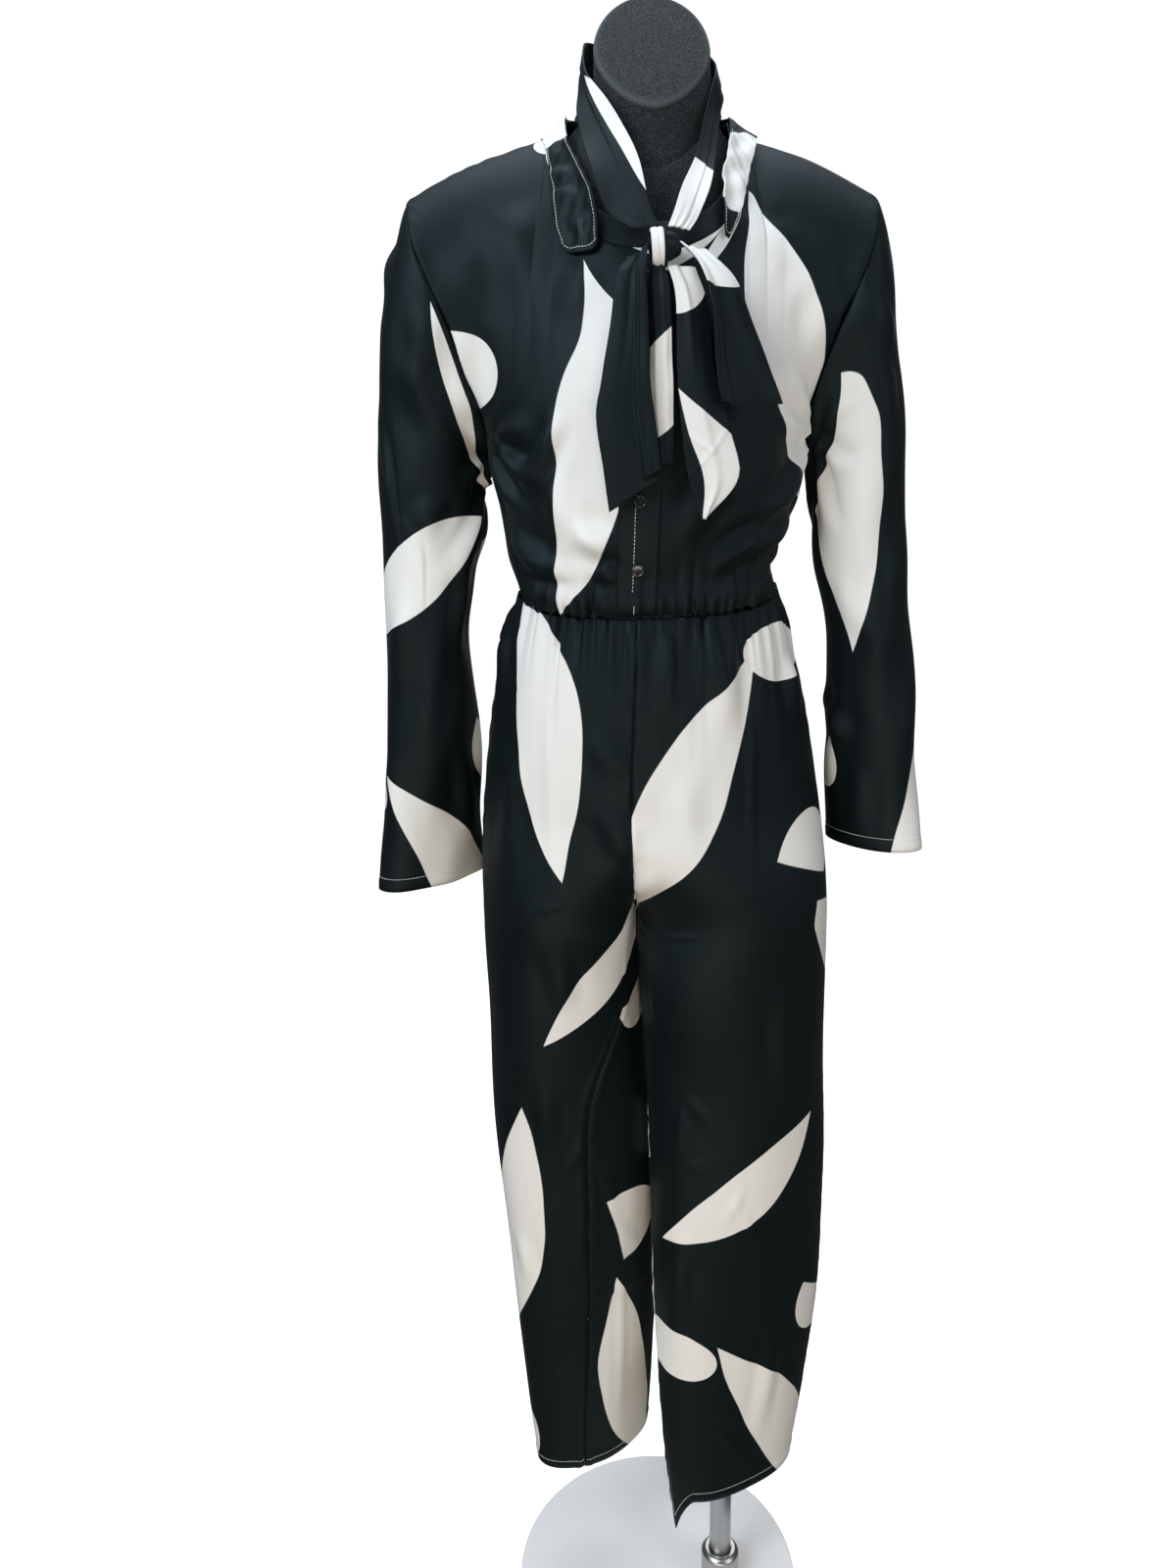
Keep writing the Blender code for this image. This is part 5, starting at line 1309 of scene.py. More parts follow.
grid_z = mix(*PLACKET_RANGE, grid_u)
soft_edge = 0.0006 * np.sqrt(np.clip(1 - (2 * grid_a - 1) ** 8, 0, 1))
stitch_dip = -0.0004 * np.exp(-(((grid_a - 0.40) * PLACKET_WIDTH / 0.0012) ** 2))
placket_points, placket_normals = on_front(
    placket_x(grid_a, grid_z), grid_z, 0.0008 + soft_edge + stitch_dip
)
shapes["front_placket"] = dict(
    points=placket_points, normals=placket_normals, flat=placket_points, flip=False, closed=False,
    across=placket_across, along=placket_up,
)
grid_piece("cloth_placket", "front_placket", shapes["front_placket"], plain_satin, 0.0008)

z_run = np.linspace(PLACKET_RANGE[0] + 0.020, PLACKET_RANGE[1] - 0.003, 120)
runs = [thread_run(*on_front(placket_x(0.40, z_run), z_run, np.full(120, 0.0012)))]
bar_z = np.linspace(1.1755, 1.1825, 8)
runs += [thread_run(*on_front(placket_x(0.45, bar_z), bar_z, np.full(8, 0.0012)), 0.0012)]
stitch_mesh("placket_stitches", runs, white_thread)


# %% Hem stitches
def level_run(shape, above_hem):
    """Stitches across a panel at an even distance from its lower edge."""
    length = np.linalg.norm(np.diff(shape["flat"], axis=1), axis=-1).sum(axis=1).mean()
    ends = (0.0, 1.0) if shape["closed"] else (0.006, 0.994)
    across = np.linspace(*ends, 400)
    at = np.full(400, 1 - above_hem / length)
    return thread_run(*sample(shape, across, at), 0.0030)


runs = [level_run(shapes[name], TROUSER_HEM_STITCH) for name in TROUSER_CUTS]
runs += [level_run(shapes[name], CUFF_HEM_STITCH) for name in SLEEVE_CUTS]
stitch_mesh("hem_stitches", runs, white_thread)


# %% [markdown]
# ### Buttons
# Dark polished plastic buttons 12 mm across, turned with a raised rim and a dished middle, and
# sewn on through four holes with dark thread. The face is one height over the radius, with
# four little pits.


# %% Buttons
BUTTON_RADIUS, BUTTON_HALF, DISH_RADIUS, DISH_HEIGHT = 0.006, 0.0012, 0.0039, 0.0006
HOLE_PLACE, HOLE_RADIUS, HOLE_DEPTH = 0.00115, 0.0005, 0.0011
BUTTON_HEIGHTS = (1.215, 1.272, 1.330, 1.388)


def button_plastic():
    """Cast polyester button: black, tumbled to a gloss."""
    material, tree, shader = new_finish("tumbled_polyester_button", Roughness=0.16, IOR=1.55)
    own = add(tree, "TexCoord").outputs["Object"]
    colour = blend(tree, noise(tree, own, 260.0), "#0b0c0e", "#1a1c20")
    tree.links.new(colour, shader.inputs["Base Color"])
    return material


def weld(piece, reach, fill=False):
    """Joins points closer than the reach, fills open ends if asked, and turns faces outwards."""
    bm = bmesh.new()
    bm.from_mesh(piece.data)
    bmesh.ops.remove_doubles(bm, verts=bm.verts, dist=reach)
    if fill:
        bmesh.ops.holes_fill(bm, edges=[e for e in bm.edges if e.is_boundary], sides=0)
    bmesh.ops.recalc_face_normals(bm, faces=bm.faces)
    bm.to_mesh(piece.data)
    bm.free()
    piece.data.shade_smooth()


def turned(name, node, centre, axis, radii, heights, material, slot, pits=None, sides=64):
    """A profile of radii and heights turned about an axis, with optional pits in its face."""
    axis = unit(np.asarray(axis, float))
    first = unit(np.cross(axis, [0.0, 0.0, 1.0]) + 1e-9 * np.array([1.0, 0, 0]))
    second = np.cross(axis, first)
    turn = np.linspace(0, 2 * np.pi, sides + 1)[:, None]
    r, h = np.asarray(radii, float)[None], np.asarray(heights, float)[None]
    if pits is not None:
        h = h - pits(r * np.cos(turn), r * np.sin(turn)) * (h > 0)
    p, q = r * np.cos(turn), r * np.sin(turn)
    points = np.asarray(centre) + first * p[..., None] + second * q[..., None]
    points = points + axis * (h + 0 * turn)[..., None]
    points[-1] = points[0]
    shape = {"points": points, "flat": points, "flip": False, "closed": True}
    weld(grid_piece(name, node, shape, material, thickness=0), 1e-7)


def rounded_profile(corners, radius, steps=5):
    """A line of corners in radius and height, each inner corner replaced by a small curve."""
    corners = np.asarray(corners, float)
    out = [corners[0]]
    for before, here, after in zip(corners[:-2], corners[1:-1], corners[2:]):
        cut = min(radius, 0.45 * np.linalg.norm(here - before), 0.45 * np.linalg.norm(after - here))
        a = here + unit(before - here) * cut
        b = here + unit(after - here) * cut
        t = np.linspace(0, 1, steps + 1)[:, None]
        out += list((1 - t) ** 2 * a + 2 * t * (1 - t) * here + t**2 * b)
    out.append(corners[-1])
    return np.array(out).T


def sewing_pits(x, y):
    """Four round holes 1.1 mm deep, on a square 2.3 mm wide."""
    pits = 0
    for u in (-HOLE_PLACE, HOLE_PLACE):
        for v in (-HOLE_PLACE, HOLE_PLACE):
            pits = pits + np.exp(-(((x - u) ** 2 + (y - v) ** 2) / HOLE_RADIUS**2) ** 2)
    return HOLE_DEPTH * pits


polished_button = button_plastic()
inner = np.linspace(DISH_RADIUS, 0.0, 32)
under = [(0, -BUTTON_HALF), (0.0056, -BUTTON_HALF), (BUTTON_RADIUS, 0.0)]
face = [(0.0055, BUTTON_HALF), (0.0044, BUTTON_HALF), (DISH_RADIUS, DISH_HEIGHT)]
rim = rounded_profile(under + face, 0.0005)
radii = np.concatenate([rim[0], inner[1:]])
heights = np.concatenate([rim[1], DISH_HEIGHT + 0.0002 * (1 - (inner[1:] / DISH_RADIUS) ** 2)])
thread_runs = []
for number, height in enumerate(BUTTON_HEIGHTS, 1):
    middle, normal = on_front(np.array([placket_x(0.5, height)]), np.array([height]), np.array([0.0030]))
    name = f"button_{number}"
    turned("sewn_" + name, name, middle[0], normal[0], radii, heights, polished_button, "button", sewing_pits)
    side = unit(np.cross(normal[0], [0, 0, 1.0]))
    up_line = np.cross(side, normal[0])
    for v in (-1, 1):
        ends = np.array([-1.0, 1.0])[:, None] * 0.0011 * (side + 0.2 * v * up_line)
        cord = middle[0] + v * 0.0011 * up_line + normal[0] * 0.0010 + ends
        thread_runs.append((cord.mean(0)[None], unit(ends[1:] - ends[:1]), normal))
black_thread = thread_finish("black_spun_polyester_thread", "#101114", "#2a2c30")
stitch_mesh("button_threads", thread_runs, black_thread, length=0.0030, radius=0.00040)


# %% [markdown]
# ## Collar
# A shirt collar has two parts: a stand that goes up from the neckline, and a fall that turns
# over it. Both are doubled cloth with stiffening between, so they are thicker and smoother than
# the garment, and they are stitched close to the edge in white.


# %% Neckband
BAND_HEIGHT = 0.020


def band(around, up):
    """The neckline's four quarters in turn, carried up and a tenth inwards, more on the shoulders."""
    order = ((LEFT, FRONT, True), (LEFT, BACK, False), (RIGHT, BACK, True), (RIGHT, FRONT, False))
    foot = four_quarters(around, neckline, order)
    beside = (np.abs(foot[..., 0]) / NECK_SIDE[LEFT][0]) ** 4
    lean = 0.10 + beside * np.where(foot[..., 0] > 0, 0.07, 0.05)
    top = np.stack([-foot[..., 0] * lean, -foot[..., 1] * lean, BAND_HEIGHT - 0.005 * beside], -1)
    return foot + up[..., None] * top


def band_height(points, normals, around, up):
    """Slight dents in the stand, and a stitched groove near its lower edge."""
    height = 0.0006 * waves(points, 0.035, 31)
    return height - 0.0004 * np.exp(-(((up - 0.12) / 0.04) ** 2))


shapes["neckband"] = shaped(band, np.linspace(0, 1, 193), np.linspace(0, 1, 13), band_height)
grid_piece("cloth_neckband", "neckband", shapes["neckband"], plain_satin, DOUBLED)

# %% Collar fall
# inner edge x, y, height, outer edge x, y, height; from the centre back to the front
COLLAR_ROWS = {
    RIGHT: (
        (-0.0003, 0.0492, 1.5940, -0.0003, 0.0670, 1.5660),
        (-0.0305, 0.0458, 1.5960, -0.0370, 0.0620, 1.5690),
        (-0.0547, 0.0352, 1.5985, -0.0680, 0.0490, 1.5740),
        (-0.0690, 0.0115, 1.5955, -0.0915, 0.0150, 1.5790),
        (-0.0708, -0.0010, 1.5950, -0.0925, -0.0020, 1.5790),
        (-0.0715, -0.0235, 1.5800, -0.0900, -0.0230, 1.5690),
        (-0.0700, -0.0400, 1.5680, -0.0875, -0.0330, 1.5580),
        (-0.0600, -0.0640, 1.5430, -0.0860, -0.0450, 1.5410),
        (-0.0510, -0.0830, 1.5220, -0.0845, -0.0590, 1.5215),
        (-0.0470, -0.0930, 1.5000, -0.0825, -0.0720, 1.4975),
        (-0.0455, -0.0990, 1.4720, -0.0760, -0.0850, 1.4720),
    ),
    LEFT: (
        (0.0003, 0.0492, 1.5940, 0.0003, 0.0670, 1.5660),
        (0.0305, 0.0458, 1.5955, 0.0370, 0.0620, 1.5690),
        (0.0520, 0.0335, 1.5965, 0.0680, 0.0490, 1.5740),
        (0.0685, 0.0115, 1.5930, 0.0940, 0.0150, 1.5765),
        (0.0700, -0.0025, 1.5905, 0.0950, -0.0020, 1.5770),
        (0.0690, -0.0240, 1.5775, 0.0925, -0.0220, 1.5695),
        (0.0660, -0.0400, 1.5650, 0.0890, -0.0330, 1.5580),
        (0.0620, -0.0565, 1.5475, 0.0840, -0.0440, 1.5405),
        (0.0580, -0.0700, 1.5315, 0.0780, -0.0610, 1.5200),
        (0.0570, -0.0840, 1.5070, 0.0700, -0.0780, 1.4970),
        (0.0590, -0.0910, 1.4840, 0.0620, -0.0900, 1.4815),
    ),
}


def strip(table, bulge=(0, 0, 0)):
    """Straight lines between two edges given by rows, raised in the middle by 4 a (1 - a)."""

    def surface(across, along):
        columns = read_rows(table, along)
        one, other = columns[..., :3], columns[..., 3:]
        raised = 4 * across * (1 - across)
        return mix(one, other, across[..., None]) + raised[..., None] * np.asarray(bulge)

    return surface


def collar_height(points, normals, across, along):
    """The roll over the stand, soft dents from wear, and a stitched groove near each edge."""
    roll = 0.0016 * np.exp(-((across / 0.25) ** 2))
    dents = 0.0013 * waves(points, 0.026, 17) * smooth((along - 0.35) / 0.2)
    groove = np.exp(-(((across - 0.08) / 0.03) ** 2)) + np.exp(-(((across - 0.92) / 0.03) ** 2))
    return roll + dents - 0.0004 * groove


def rounded_end(surface, radius):
    """The same strip with the two corners of its far end rounded off."""

    def cut(across, along):
        points = surface(across, along)
        before = surface(across, np.clip(along - 0.01, 0, 1))
        line = unit(points - before + 1e-9)
        width = np.linalg.norm(surface(1 + 0 * across, along) - surface(0 * across, along), axis=-1)
        from_edge = np.minimum(across, 1 - across) * width
        short = radius - np.sqrt(np.clip(radius**2 - np.clip(radius - from_edge, 0, None) ** 2, 0, None))
        return points - line * (short * smooth((along - 0.86) / 0.14))[..., None]

    return cut


collar_stitches = []
for side, name, origin in ((RIGHT, "collar_right", (0.712, 0.013)), (LEFT, "collar_left", (0.555, 0.840))):
    fall = strip(COLLAR_ROWS[side])
    if side == RIGHT:
        fall = rounded_end(fall, 0.011)
    shapes[name] = shaped(
        fall, np.linspace(0, 1, 25), np.linspace(0, 1, 151), collar_height, facing=(0, -0.3, 1)
    )
    grid_piece("cloth_" + name, name, shapes[name], satin, DOUBLED, origin)
    near_end = np.linspace(0.50, 0.985, 200)
    for edge in (0.07, 0.93):
        collar_stitches.append(thread_run(*sample(shapes[name], np.full(200, edge), near_end), 0.0030))
    ends = np.linspace(0.07, 0.93, 60)
    collar_stitches.append(thread_run(*sample(shapes[name], ends, np.full(60, 0.985)), 0.0030))
stitch_mesh("collar_stitches", collar_stitches, white_thread)

# a buttonhole near the right end: two rows of close stitches across a slit 15 mm long
slit = np.linspace(0, 1, 26)
hole_along = 0.905 + 0.052 * np.concatenate([slit, slit[::-1]])
hole_across = 0.40 + 0.030 * np.repeat([1.0, -1.0], 26)
centre, normal = sample(shapes["collar_right"], hole_across, hole_along)
onwards = sample(shapes["collar_right"], hole_across, hole_along + 0.01)[0]
rows_apart = unit(np.cross(normal, onwards - centre))
buttonhole_thread = thread_finish("dark_buttonhole_thread", "#2a2d30", "#4a4e52")
stitch_mesh("buttonhole", [(centre + 0.0002 * normal, rows_apart, normal)], buttonhole_thread, 0.0019)


# %% [markdown]
# ## Neck tie
# The tie is one long strip, doubled and pressed flat. It goes round behind the neck, under the
# collar, and is knotted at the front in a soft bow: two loops and two tails. Where the knot
# squeezes it, it stands in lengthwise pleats that open out further down.

# %% Tie sizes
# one edge x, y, height, other edge x, y, height; from the knot up the right side, behind the
# neck and down the left side
TIE_NECK_ROWS = (
    (-0.0190, -0.1180, 1.4830, 0.0030, -0.1190, 1.4851),
    (-0.0390, -0.1090, 1.5000, -0.0050, -0.1120, 1.5020),
    (-0.0520, -0.0900, 1.5370, -0.0120, -0.0960, 1.5370),
    (-0.0600, -0.0640, 1.5700, -0.0230, -0.0790, 1.5660),
    (-0.0620, -0.0420, 1.5950, -0.0370, -0.0640, 1.5920),
    (-0.0600, -0.0150, 1.6200, -0.0530, -0.0270, 1.6240),
    (-0.0560, 0.0120, 1.6260, -0.0530, 0.0080, 1.6540),
    (-0.0330, 0.0420, 1.6270, -0.0330, 0.0350, 1.6600),
    (0.0000, 0.0520, 1.6270, 0.0000, 0.0450, 1.6610),
    (0.0340, 0.0420, 1.6250, 0.0340, 0.0350, 1.6580),
    (0.0560, 0.0120, 1.6180, 0.0550, 0.0060, 1.6420),
    (0.0620, -0.0170, 1.6050, 0.0530, -0.0290, 1.6180),
    (0.0580, -0.0420, 1.5810, 0.0440, -0.0520, 1.5820),
    (0.0530, -0.0670, 1.5490, 0.0370, -0.0740, 1.5500),
    (0.0460, -0.0890, 1.5210, 0.0240, -0.0940, 1.5230),
    (0.0350, -0.1060, 1.4950, 0.0140, -0.1130, 1.4970),
    (0.0270, -0.1160, 1.4830, 0.0090, -0.1190, 1.4851),
)

# right edge x, y, height, left edge x, y, height; from the knot down
TIE_HANGING_ROWS = {
    "tie_tail_right": (
        (-0.0240, -0.1200, 1.4640, -0.0069, -0.1200, 1.4700),
        (-0.0330, -0.1290, 1.4480, -0.0100, -0.1310, 1.4500),
        (-0.0390, -0.1320, 1.4110, -0.0085, -0.1350, 1.4110),
        (-0.0460, -0.1320, 1.3700, -0.0075, -0.1350, 1.3700),
        (-0.0510, -0.1310, 1.3410, -0.0040, -0.1340, 1.3410),
        (-0.0460, -0.1310, 1.3000, -0.0005, -0.1330, 1.3100),
        (-0.0415, -0.1300, 1.2640, 0.0010, -0.1310, 1.2900),
    ),
    "tie_loop_right": (
        (-0.0060, -0.1200, 1.4561, 0.0070, -0.1200, 1.4561),
        (-0.0075, -0.1270, 1.4380, 0.0100, -0.1270, 1.4380),
        (-0.0070, -0.1285, 1.4000, 0.0116, -0.1285, 1.4000),
        (-0.0060, -0.1285, 1.3500, 0.0128, -0.1285, 1.3500),
        (-0.0010, -0.1270, 1.3010, 0.0126, -0.1270, 1.3010),
    ),
    "tie_tail_left": (
        (0.0090, -0.1190, 1.4560, 0.0310, -0.1190, 1.4540),
        (0.0148, -0.1250, 1.4300, 0.0410, -0.1230, 1.4250),
        (0.0155, -0.1270, 1.3750, 0.0470, -0.1250, 1.3730),
        (0.0195, -0.1280, 1.3280, 0.0600, -0.1250, 1.3280),
        (0.0250, -0.1290, 1.2900, 0.0670, -0.1260, 1.2900),
        (0.0360, -0.1290, 1.2570, 0.0400, -0.1285, 1.2570),
    ),
    "tie_loop_left": (
        (0.0189, -0.1195, 1.4700, 0.0385, -0.1180, 1.4660),
        (0.0340, -0.1320, 1.4490, 0.0600, -0.1210, 1.4480),
        (0.0420, -0.1335, 1.4240, 0.0730, -0.1210, 1.4240),
        (0.0447, -0.1330, 1.3870, 0.0880, -0.1210, 1.3870),
        (0.0490, -0.1320, 1.3590, 0.0990, -0.1220, 1.3590),
        (0.0540, -0.1310, 1.3460, 0.1030, -0.1220, 1.3480),
    ),
}


# %% Tie folds
def ridge(across, middle, width):
    """exp(-((across - middle) / width)^2): one lengthwise fold."""
    return np.exp(-(((across - middle) / width) ** 2))


def step_up(across, edge, width=0.02):
    """0 before an edge and 1 after it: one layer of cloth lying on another."""
    return smooth((across - edge) / width + 0.5)


def neck_strip_height(points, normals, across, along):
    """Pleats that the knot squeezes at both ends, a pressed crease and soft waves between."""
    squeeze = np.exp(-((along / 0.05) ** 2)) + np.exp(-(((1 - along) / 0.06) ** 2))
    pleats = ridge(across, 0.22, 0.07) + ridge(across, 0.5, 0.07) + ridge(across, 0.78, 0.07)
    fold = step_up(across, mix(0.62, 0.40, smooth(along * 3))) * 0.0011
    return 0.0010 * squeeze * (pleats - 0.5) + fold + 0.0016 * waves(points, 0.055, 41)


def tail_right_height(points, normals, across, along):
    """A broad face with a narrow double fold down its left edge, and pleats at the knot."""
    squeeze = np.exp(-((along / 0.12) ** 2))
    double = 0.0030 * step_up(across, 0.70, 0.05) + 0.0022 * step_up(across, 0.85, 0.05)
    double = double * smooth((0.97 - along) / 0.05)
    dent = -0.0020 * ridge(across, mix(0.55, 0.30, along), 0.10) * smooth(1 - along / 0.6)
    return double + dent + 0.0005 * squeeze * np.cos(across * 9) + 0.0014 * waves(points, 0.060, 42)


def loop_right_height(points, normals, across, along):
    """Two deep pleats that run the whole length."""
    pleats = ridge(across, 0.25, 0.12) + 0.8 * ridge(across, 0.72, 0.13)
    return 0.0022 * (pleats - 0.5) * (1 - 0.5 * along) + 0.0008 * waves(points, 0.030, 43)


def tail_left_height(points, normals, across, along):
    """A fold from the knot to the point, pressed creases across, and pleats at the knot."""
    squeeze = np.exp(-((along / 0.15) ** 2))
    slant = ridge(across, mix(0.30, 0.62, along), 0.10) * 0.0020
    pressed = 0.0009 * np.exp(-(((along - 0.60 - 0.16 * across) / 0.012) ** 2))
    pressed += 0.0009 * np.exp(-(((along - 0.80 + 0.22 * across) / 0.012) ** 2))
    return slant + pressed + 0.0009 * squeeze * np.cos(across * 8) + 0.0014 * waves(points, 0.055, 44)


def loop_left_height(points, normals, across, along):
    """A narrow double fold along its right edge, and a broad flap that swells beside it."""
    double = 0.0030 * step_up(0.20 - across, 0.0, 0.05) + 0.0016 * step_up(0.10 - across, 0.0, 0.04)
    swell = 0.0030 * np.sin(np.pi * np.clip((across - 0.2) / 0.8, 0, 1)) * np.sin(np.pi * along)
    squeeze = np.exp(-((along / 0.14) ** 2))
    return double + swell + 0.0008 * squeeze * np.cos(across * 13) + 0.0012 * waves(points, 0.06, 45)


def loop_end(surface):
    """The loop's lower end, turned up at its right corner in a curve 12 mm in radius."""

    def cut(across, along):
        points = surface(across, along)
        corner = np.clip(1 - across / 0.22, 0, 1)
        lift = 0.010 * (1 - np.sqrt(np.clip(1 - corner**2, 0, 1))) * smooth((along - 0.9) / 0.1)
        return points + lift[..., None] * np.array([0, 0, 1.0])

    return cut


TIE_PARTS = {
    "tie_neck": (strip(TIE_NECK_ROWS), neck_strip_height, (0.194, 0.459), 193, None),
    "tie_tail_right": (None, tail_right_height, (0.780, 0.321), 97, (0, -1, 0)),
    "tie_loop_right": (None, loop_right_height, (0.676, 0.876), 81, (0, -1, 0)),
    "tie_tail_left": (None, tail_left_height, (0.086, 0.504), 105, (0, -1, 0)),
    "tie_loop_left": (None, loop_left_height, (0.704, 0.122), 97, (0, -1, 0)),
}
for name, (surface, height, origin, count, facing) in TIE_PARTS.items():
    if surface is None:
        surface = strip(TIE_HANGING_ROWS[name], (0, -0.0015, 0))
    if name == "tie_loop_left":
        surface = loop_end(surface)
    shapes[name] = shaped(surface, np.linspace(0, 1, 37), np.linspace(0, 1, count), height, facing)
    grid_piece("cloth_" + name, name, shapes[name], satin, DOUBLED, origin)


# %% Knot
KNOT_CENTRE, KNOT_HALF = (0.0060, -0.1185, 1.4700), (0.0125, 0.0105, 0.0135)


def knot_core(around, up):
    """A superellipsoid: cosines and sines raised to 0.8, wider than it is high."""
    turn, rise = around * 2 * np.pi, (up - 0.5) * np.pi
    ring = np.cos(rise) ** 0.8
    x = KNOT_HALF[0] * 1.08 * ring * signed_power(np.cos(turn), 0.8)
    y = KNOT_HALF[1] * 0.86 * ring * signed_power(np.sin(turn), 0.8)
    z = KNOT_HALF[2] * 0.80 * signed_power(np.sin(rise), 0.8)
    return np.stack([x, y, z], -1) + KNOT_CENTRE


def core_height(points, normals, around, up):
    """Pleats that run level across the knot and are squeezed together at its middle."""
    x = (points[..., 0] - KNOT_CENTRE[0]) / KNOT_HALF[0]
    z = (points[..., 2] - KNOT_CENTRE[2]) / KNOT_HALF[2]
    return 0.0009 * np.cos(z * (8 - 3 * x**2) + 1.6 * x) * (1 - np.abs(z)) ** 0.5


def knot_wrap(across, along):
    """A band round the knot: 0.62 of an oval in side view, open behind the knot."""
    turn = mix(-0.62, 0.62, along) * np.pi
    x = KNOT_CENTRE[0] + mix(-0.0105, 0.0020, across) + 0.0010 * np.sin(turn)
    y = KNOT_CENTRE[1] + 0.0020 - KNOT_HALF[1] * 1.08 * np.cos(turn)
    z = KNOT_CENTRE[2] - KNOT_HALF[2] * 1.02 * np.sin(turn)
    return np.stack([x, y, z], -1)


def wrap_height(points, normals, across, along):
    """Rounded across, with two creases that run its length."""
    rounded = 0.0016 * np.sqrt(np.clip(1 - (2 * across - 1) ** 2, 0, 1))
    return rounded - 0.0007 * ridge(across, mix(0.45, 0.62, along), 0.07)


shapes["knot_core"] = shaped(
    knot_core, np.linspace(0, 1, 73), np.linspace(0.001, 0.999, 49), core_height, closed=True
)
core = grid_piece("cloth_knot_core", "tie_knot", shapes["knot_core"], satin, 0, (0.780, 0.662))
shapes["knot_wrap"] = shaped(
    knot_wrap, np.linspace(0, 1, 33), np.linspace(0, 1, 65), wrap_height, facing=(0, -1, 0)
)
grid_piece("cloth_knot_wrap", None, shapes["knot_wrap"], satin, 0.0010, (0.145, 0.142))


# %% [markdown]
# ## Dress form
# The form is a hard shell covered in charcoal flock: short fibres glued upright, so it looks
# like fine velvet, darker where it faces you and paler at its edges. The neck is cut at a
# slant and closed by a flocked cap, drawn with paler fibres and a pale band along its
# rounded edge, both painted highlight.


# %% Flock
def charcoal_flock(name, fibre, rim=None):
    """Electrostatic flock: 0.5 mm nylon fibres, matt, with a pale fringe and a fine sparkle.

    The rim is a direction, a start and an end in metres: between them a pale band is painted on, a painted
    highlight along the cap's rounded edge.
    """
    material, tree, shader = new_finish(
        name, Roughness=0.85, Specular_IOR_Level=0.20, Sheen_Weight=0.11, Sheen_Roughness=0.35,
        Sheen_Tint=linear("#c6d0ce"),
    )
    own = add(tree, "TexCoord").outputs["Object"]
    # fibres are 0.02 mm thick: drawn as tufts of 0.7 mm so that they show at all
    tufts = noise(tree, own, 1400.0)
    dark = blend(tree, noise(tree, own, 60.0, 3.0), "#0b0f10", "#141819")
    fleck = add(tree, "MapRange", Value=tufts, i1=0.50, i2=0.72).outputs[0]
    colour = blend(tree, fleck, dark, fibre)
    # painted highlight: where a rim is given, a pale band is painted into the colour along the rounded edge
    if rim:
        direction, start, end = rim
        reach = add(tree, "VectorMath", {"operation": "DOT_PRODUCT"}, i0=own, i1=direction).outputs["Value"]
        rising = add(tree, "MapRange", Value=reach, i1=start, i2=mix(start, end, 0.6)).outputs[0]
        falling = add(tree, "MapRange", Value=reach, i1=end, i2=mix(start, end, 0.7)).outputs[0]
        painted_rim_highlight = sums(tree, "MULTIPLY", sums(tree, "MULTIPLY", rising, falling), 0.55)
        colour = blend(tree, painted_rim_highlight, colour, "#5c6262")
    tree.links.new(colour, shader.inputs["Base Color"])
    nap = add(tree, "Bump", Height=tufts, Strength=0.6, Distance=0.0006).outputs[0]
    tree.links.new(nap, shader.inputs["Normal"])
    return material


flock = charcoal_flock("charcoal_nylon_flock", "#4d5454")

# %% Form sizes
FORM_CENTRE_X, FORM_SHOULDER_X, FORM_CHEST_SHARE = -0.003, 0.184, 0.6
NECK_CENTRE_X = FORM_CENTRE_X + 0.006
NECK_BASE = (0.058, 1.592)
NECK_BASE_DEPTH = {FRONT: -0.062, BACK: 0.036}
NECK_BASE_HEIGHT = {FRONT: 1.540, BACK: 1.588}
NECK_HALF_WIDTH, NECK_HALF_DEPTH, NECK_CENTRE_Y = 0.0495, 0.045, -0.015
CAP_TILT, CAP_CENTRE_HEIGHT = math.radians(50.7), 1.639

# height, half width, front depth, back depth
FORM_ROWS = (
    (0.9200, 0.098, 0.058, 0.064),
    (0.9240, 0.110, 0.068, 0.073),
    (0.9420, 0.122, 0.079, 0.084),
    (0.9750, 0.133, 0.088, 0.095),
    (1.0300, 0.139, 0.091, 0.101),
    (1.1050, 0.131, 0.089, 0.094),
    (1.1800, 0.117, 0.084, 0.074),
    (1.2350, 0.116, 0.090, 0.080),
    (1.2800, 0.124, 0.101, 0.092),
    (1.3150, 0.129, 0.106, 0.097),
)


# %% Form surface
def form_top(side, face, across):
    """Where a column of the form ends: on the shoulder's ridge, or at the foot of the neck."""
    share = np.clip(across / SHOULDER_SHARE, 0, 1)
    foot_x, foot_z = NECK_BASE
    x = mix(FORM_SHOULDER_X, foot_x, share)
    (out_x, out_z), (in_x, in_z) = SHOULDER[side], NECK_SIDE[side]
    along = (x - abs(out_x)) / (abs(in_x) - abs(out_x))
    ridge_z = shoulder_ridge(out_z, in_z, along) - CLOTH - 0.0016
    near_neck = np.clip((abs(in_x) - x) / (abs(in_x) - foot_x), 0, 1)
    z = mix(ridge_z - 0.008 * smooth((0.125 - x) / 0.040), foot_z, near_neck**2)
    z = z - 0.012 * np.clip(1 - share * 6, 0, 1) ** 2
    shoulder = np.stack([side * x, 0 * x, z], -1)
    turn = np.clip((across - SHOULDER_SHARE) / (1 - SHOULDER_SHARE), 0, 1) * np.pi / 2
    x = side * foot_x * np.cos(turn)
    y = NECK_BASE_DEPTH[face] * np.sin(turn)
    z = mix(foot_z, NECK_BASE_HEIGHT[face], np.sin(turn) ** 2)
    return np.where((across <= SHOULDER_SHARE)[..., None], shoulder, np.stack([x, y, z], -1))


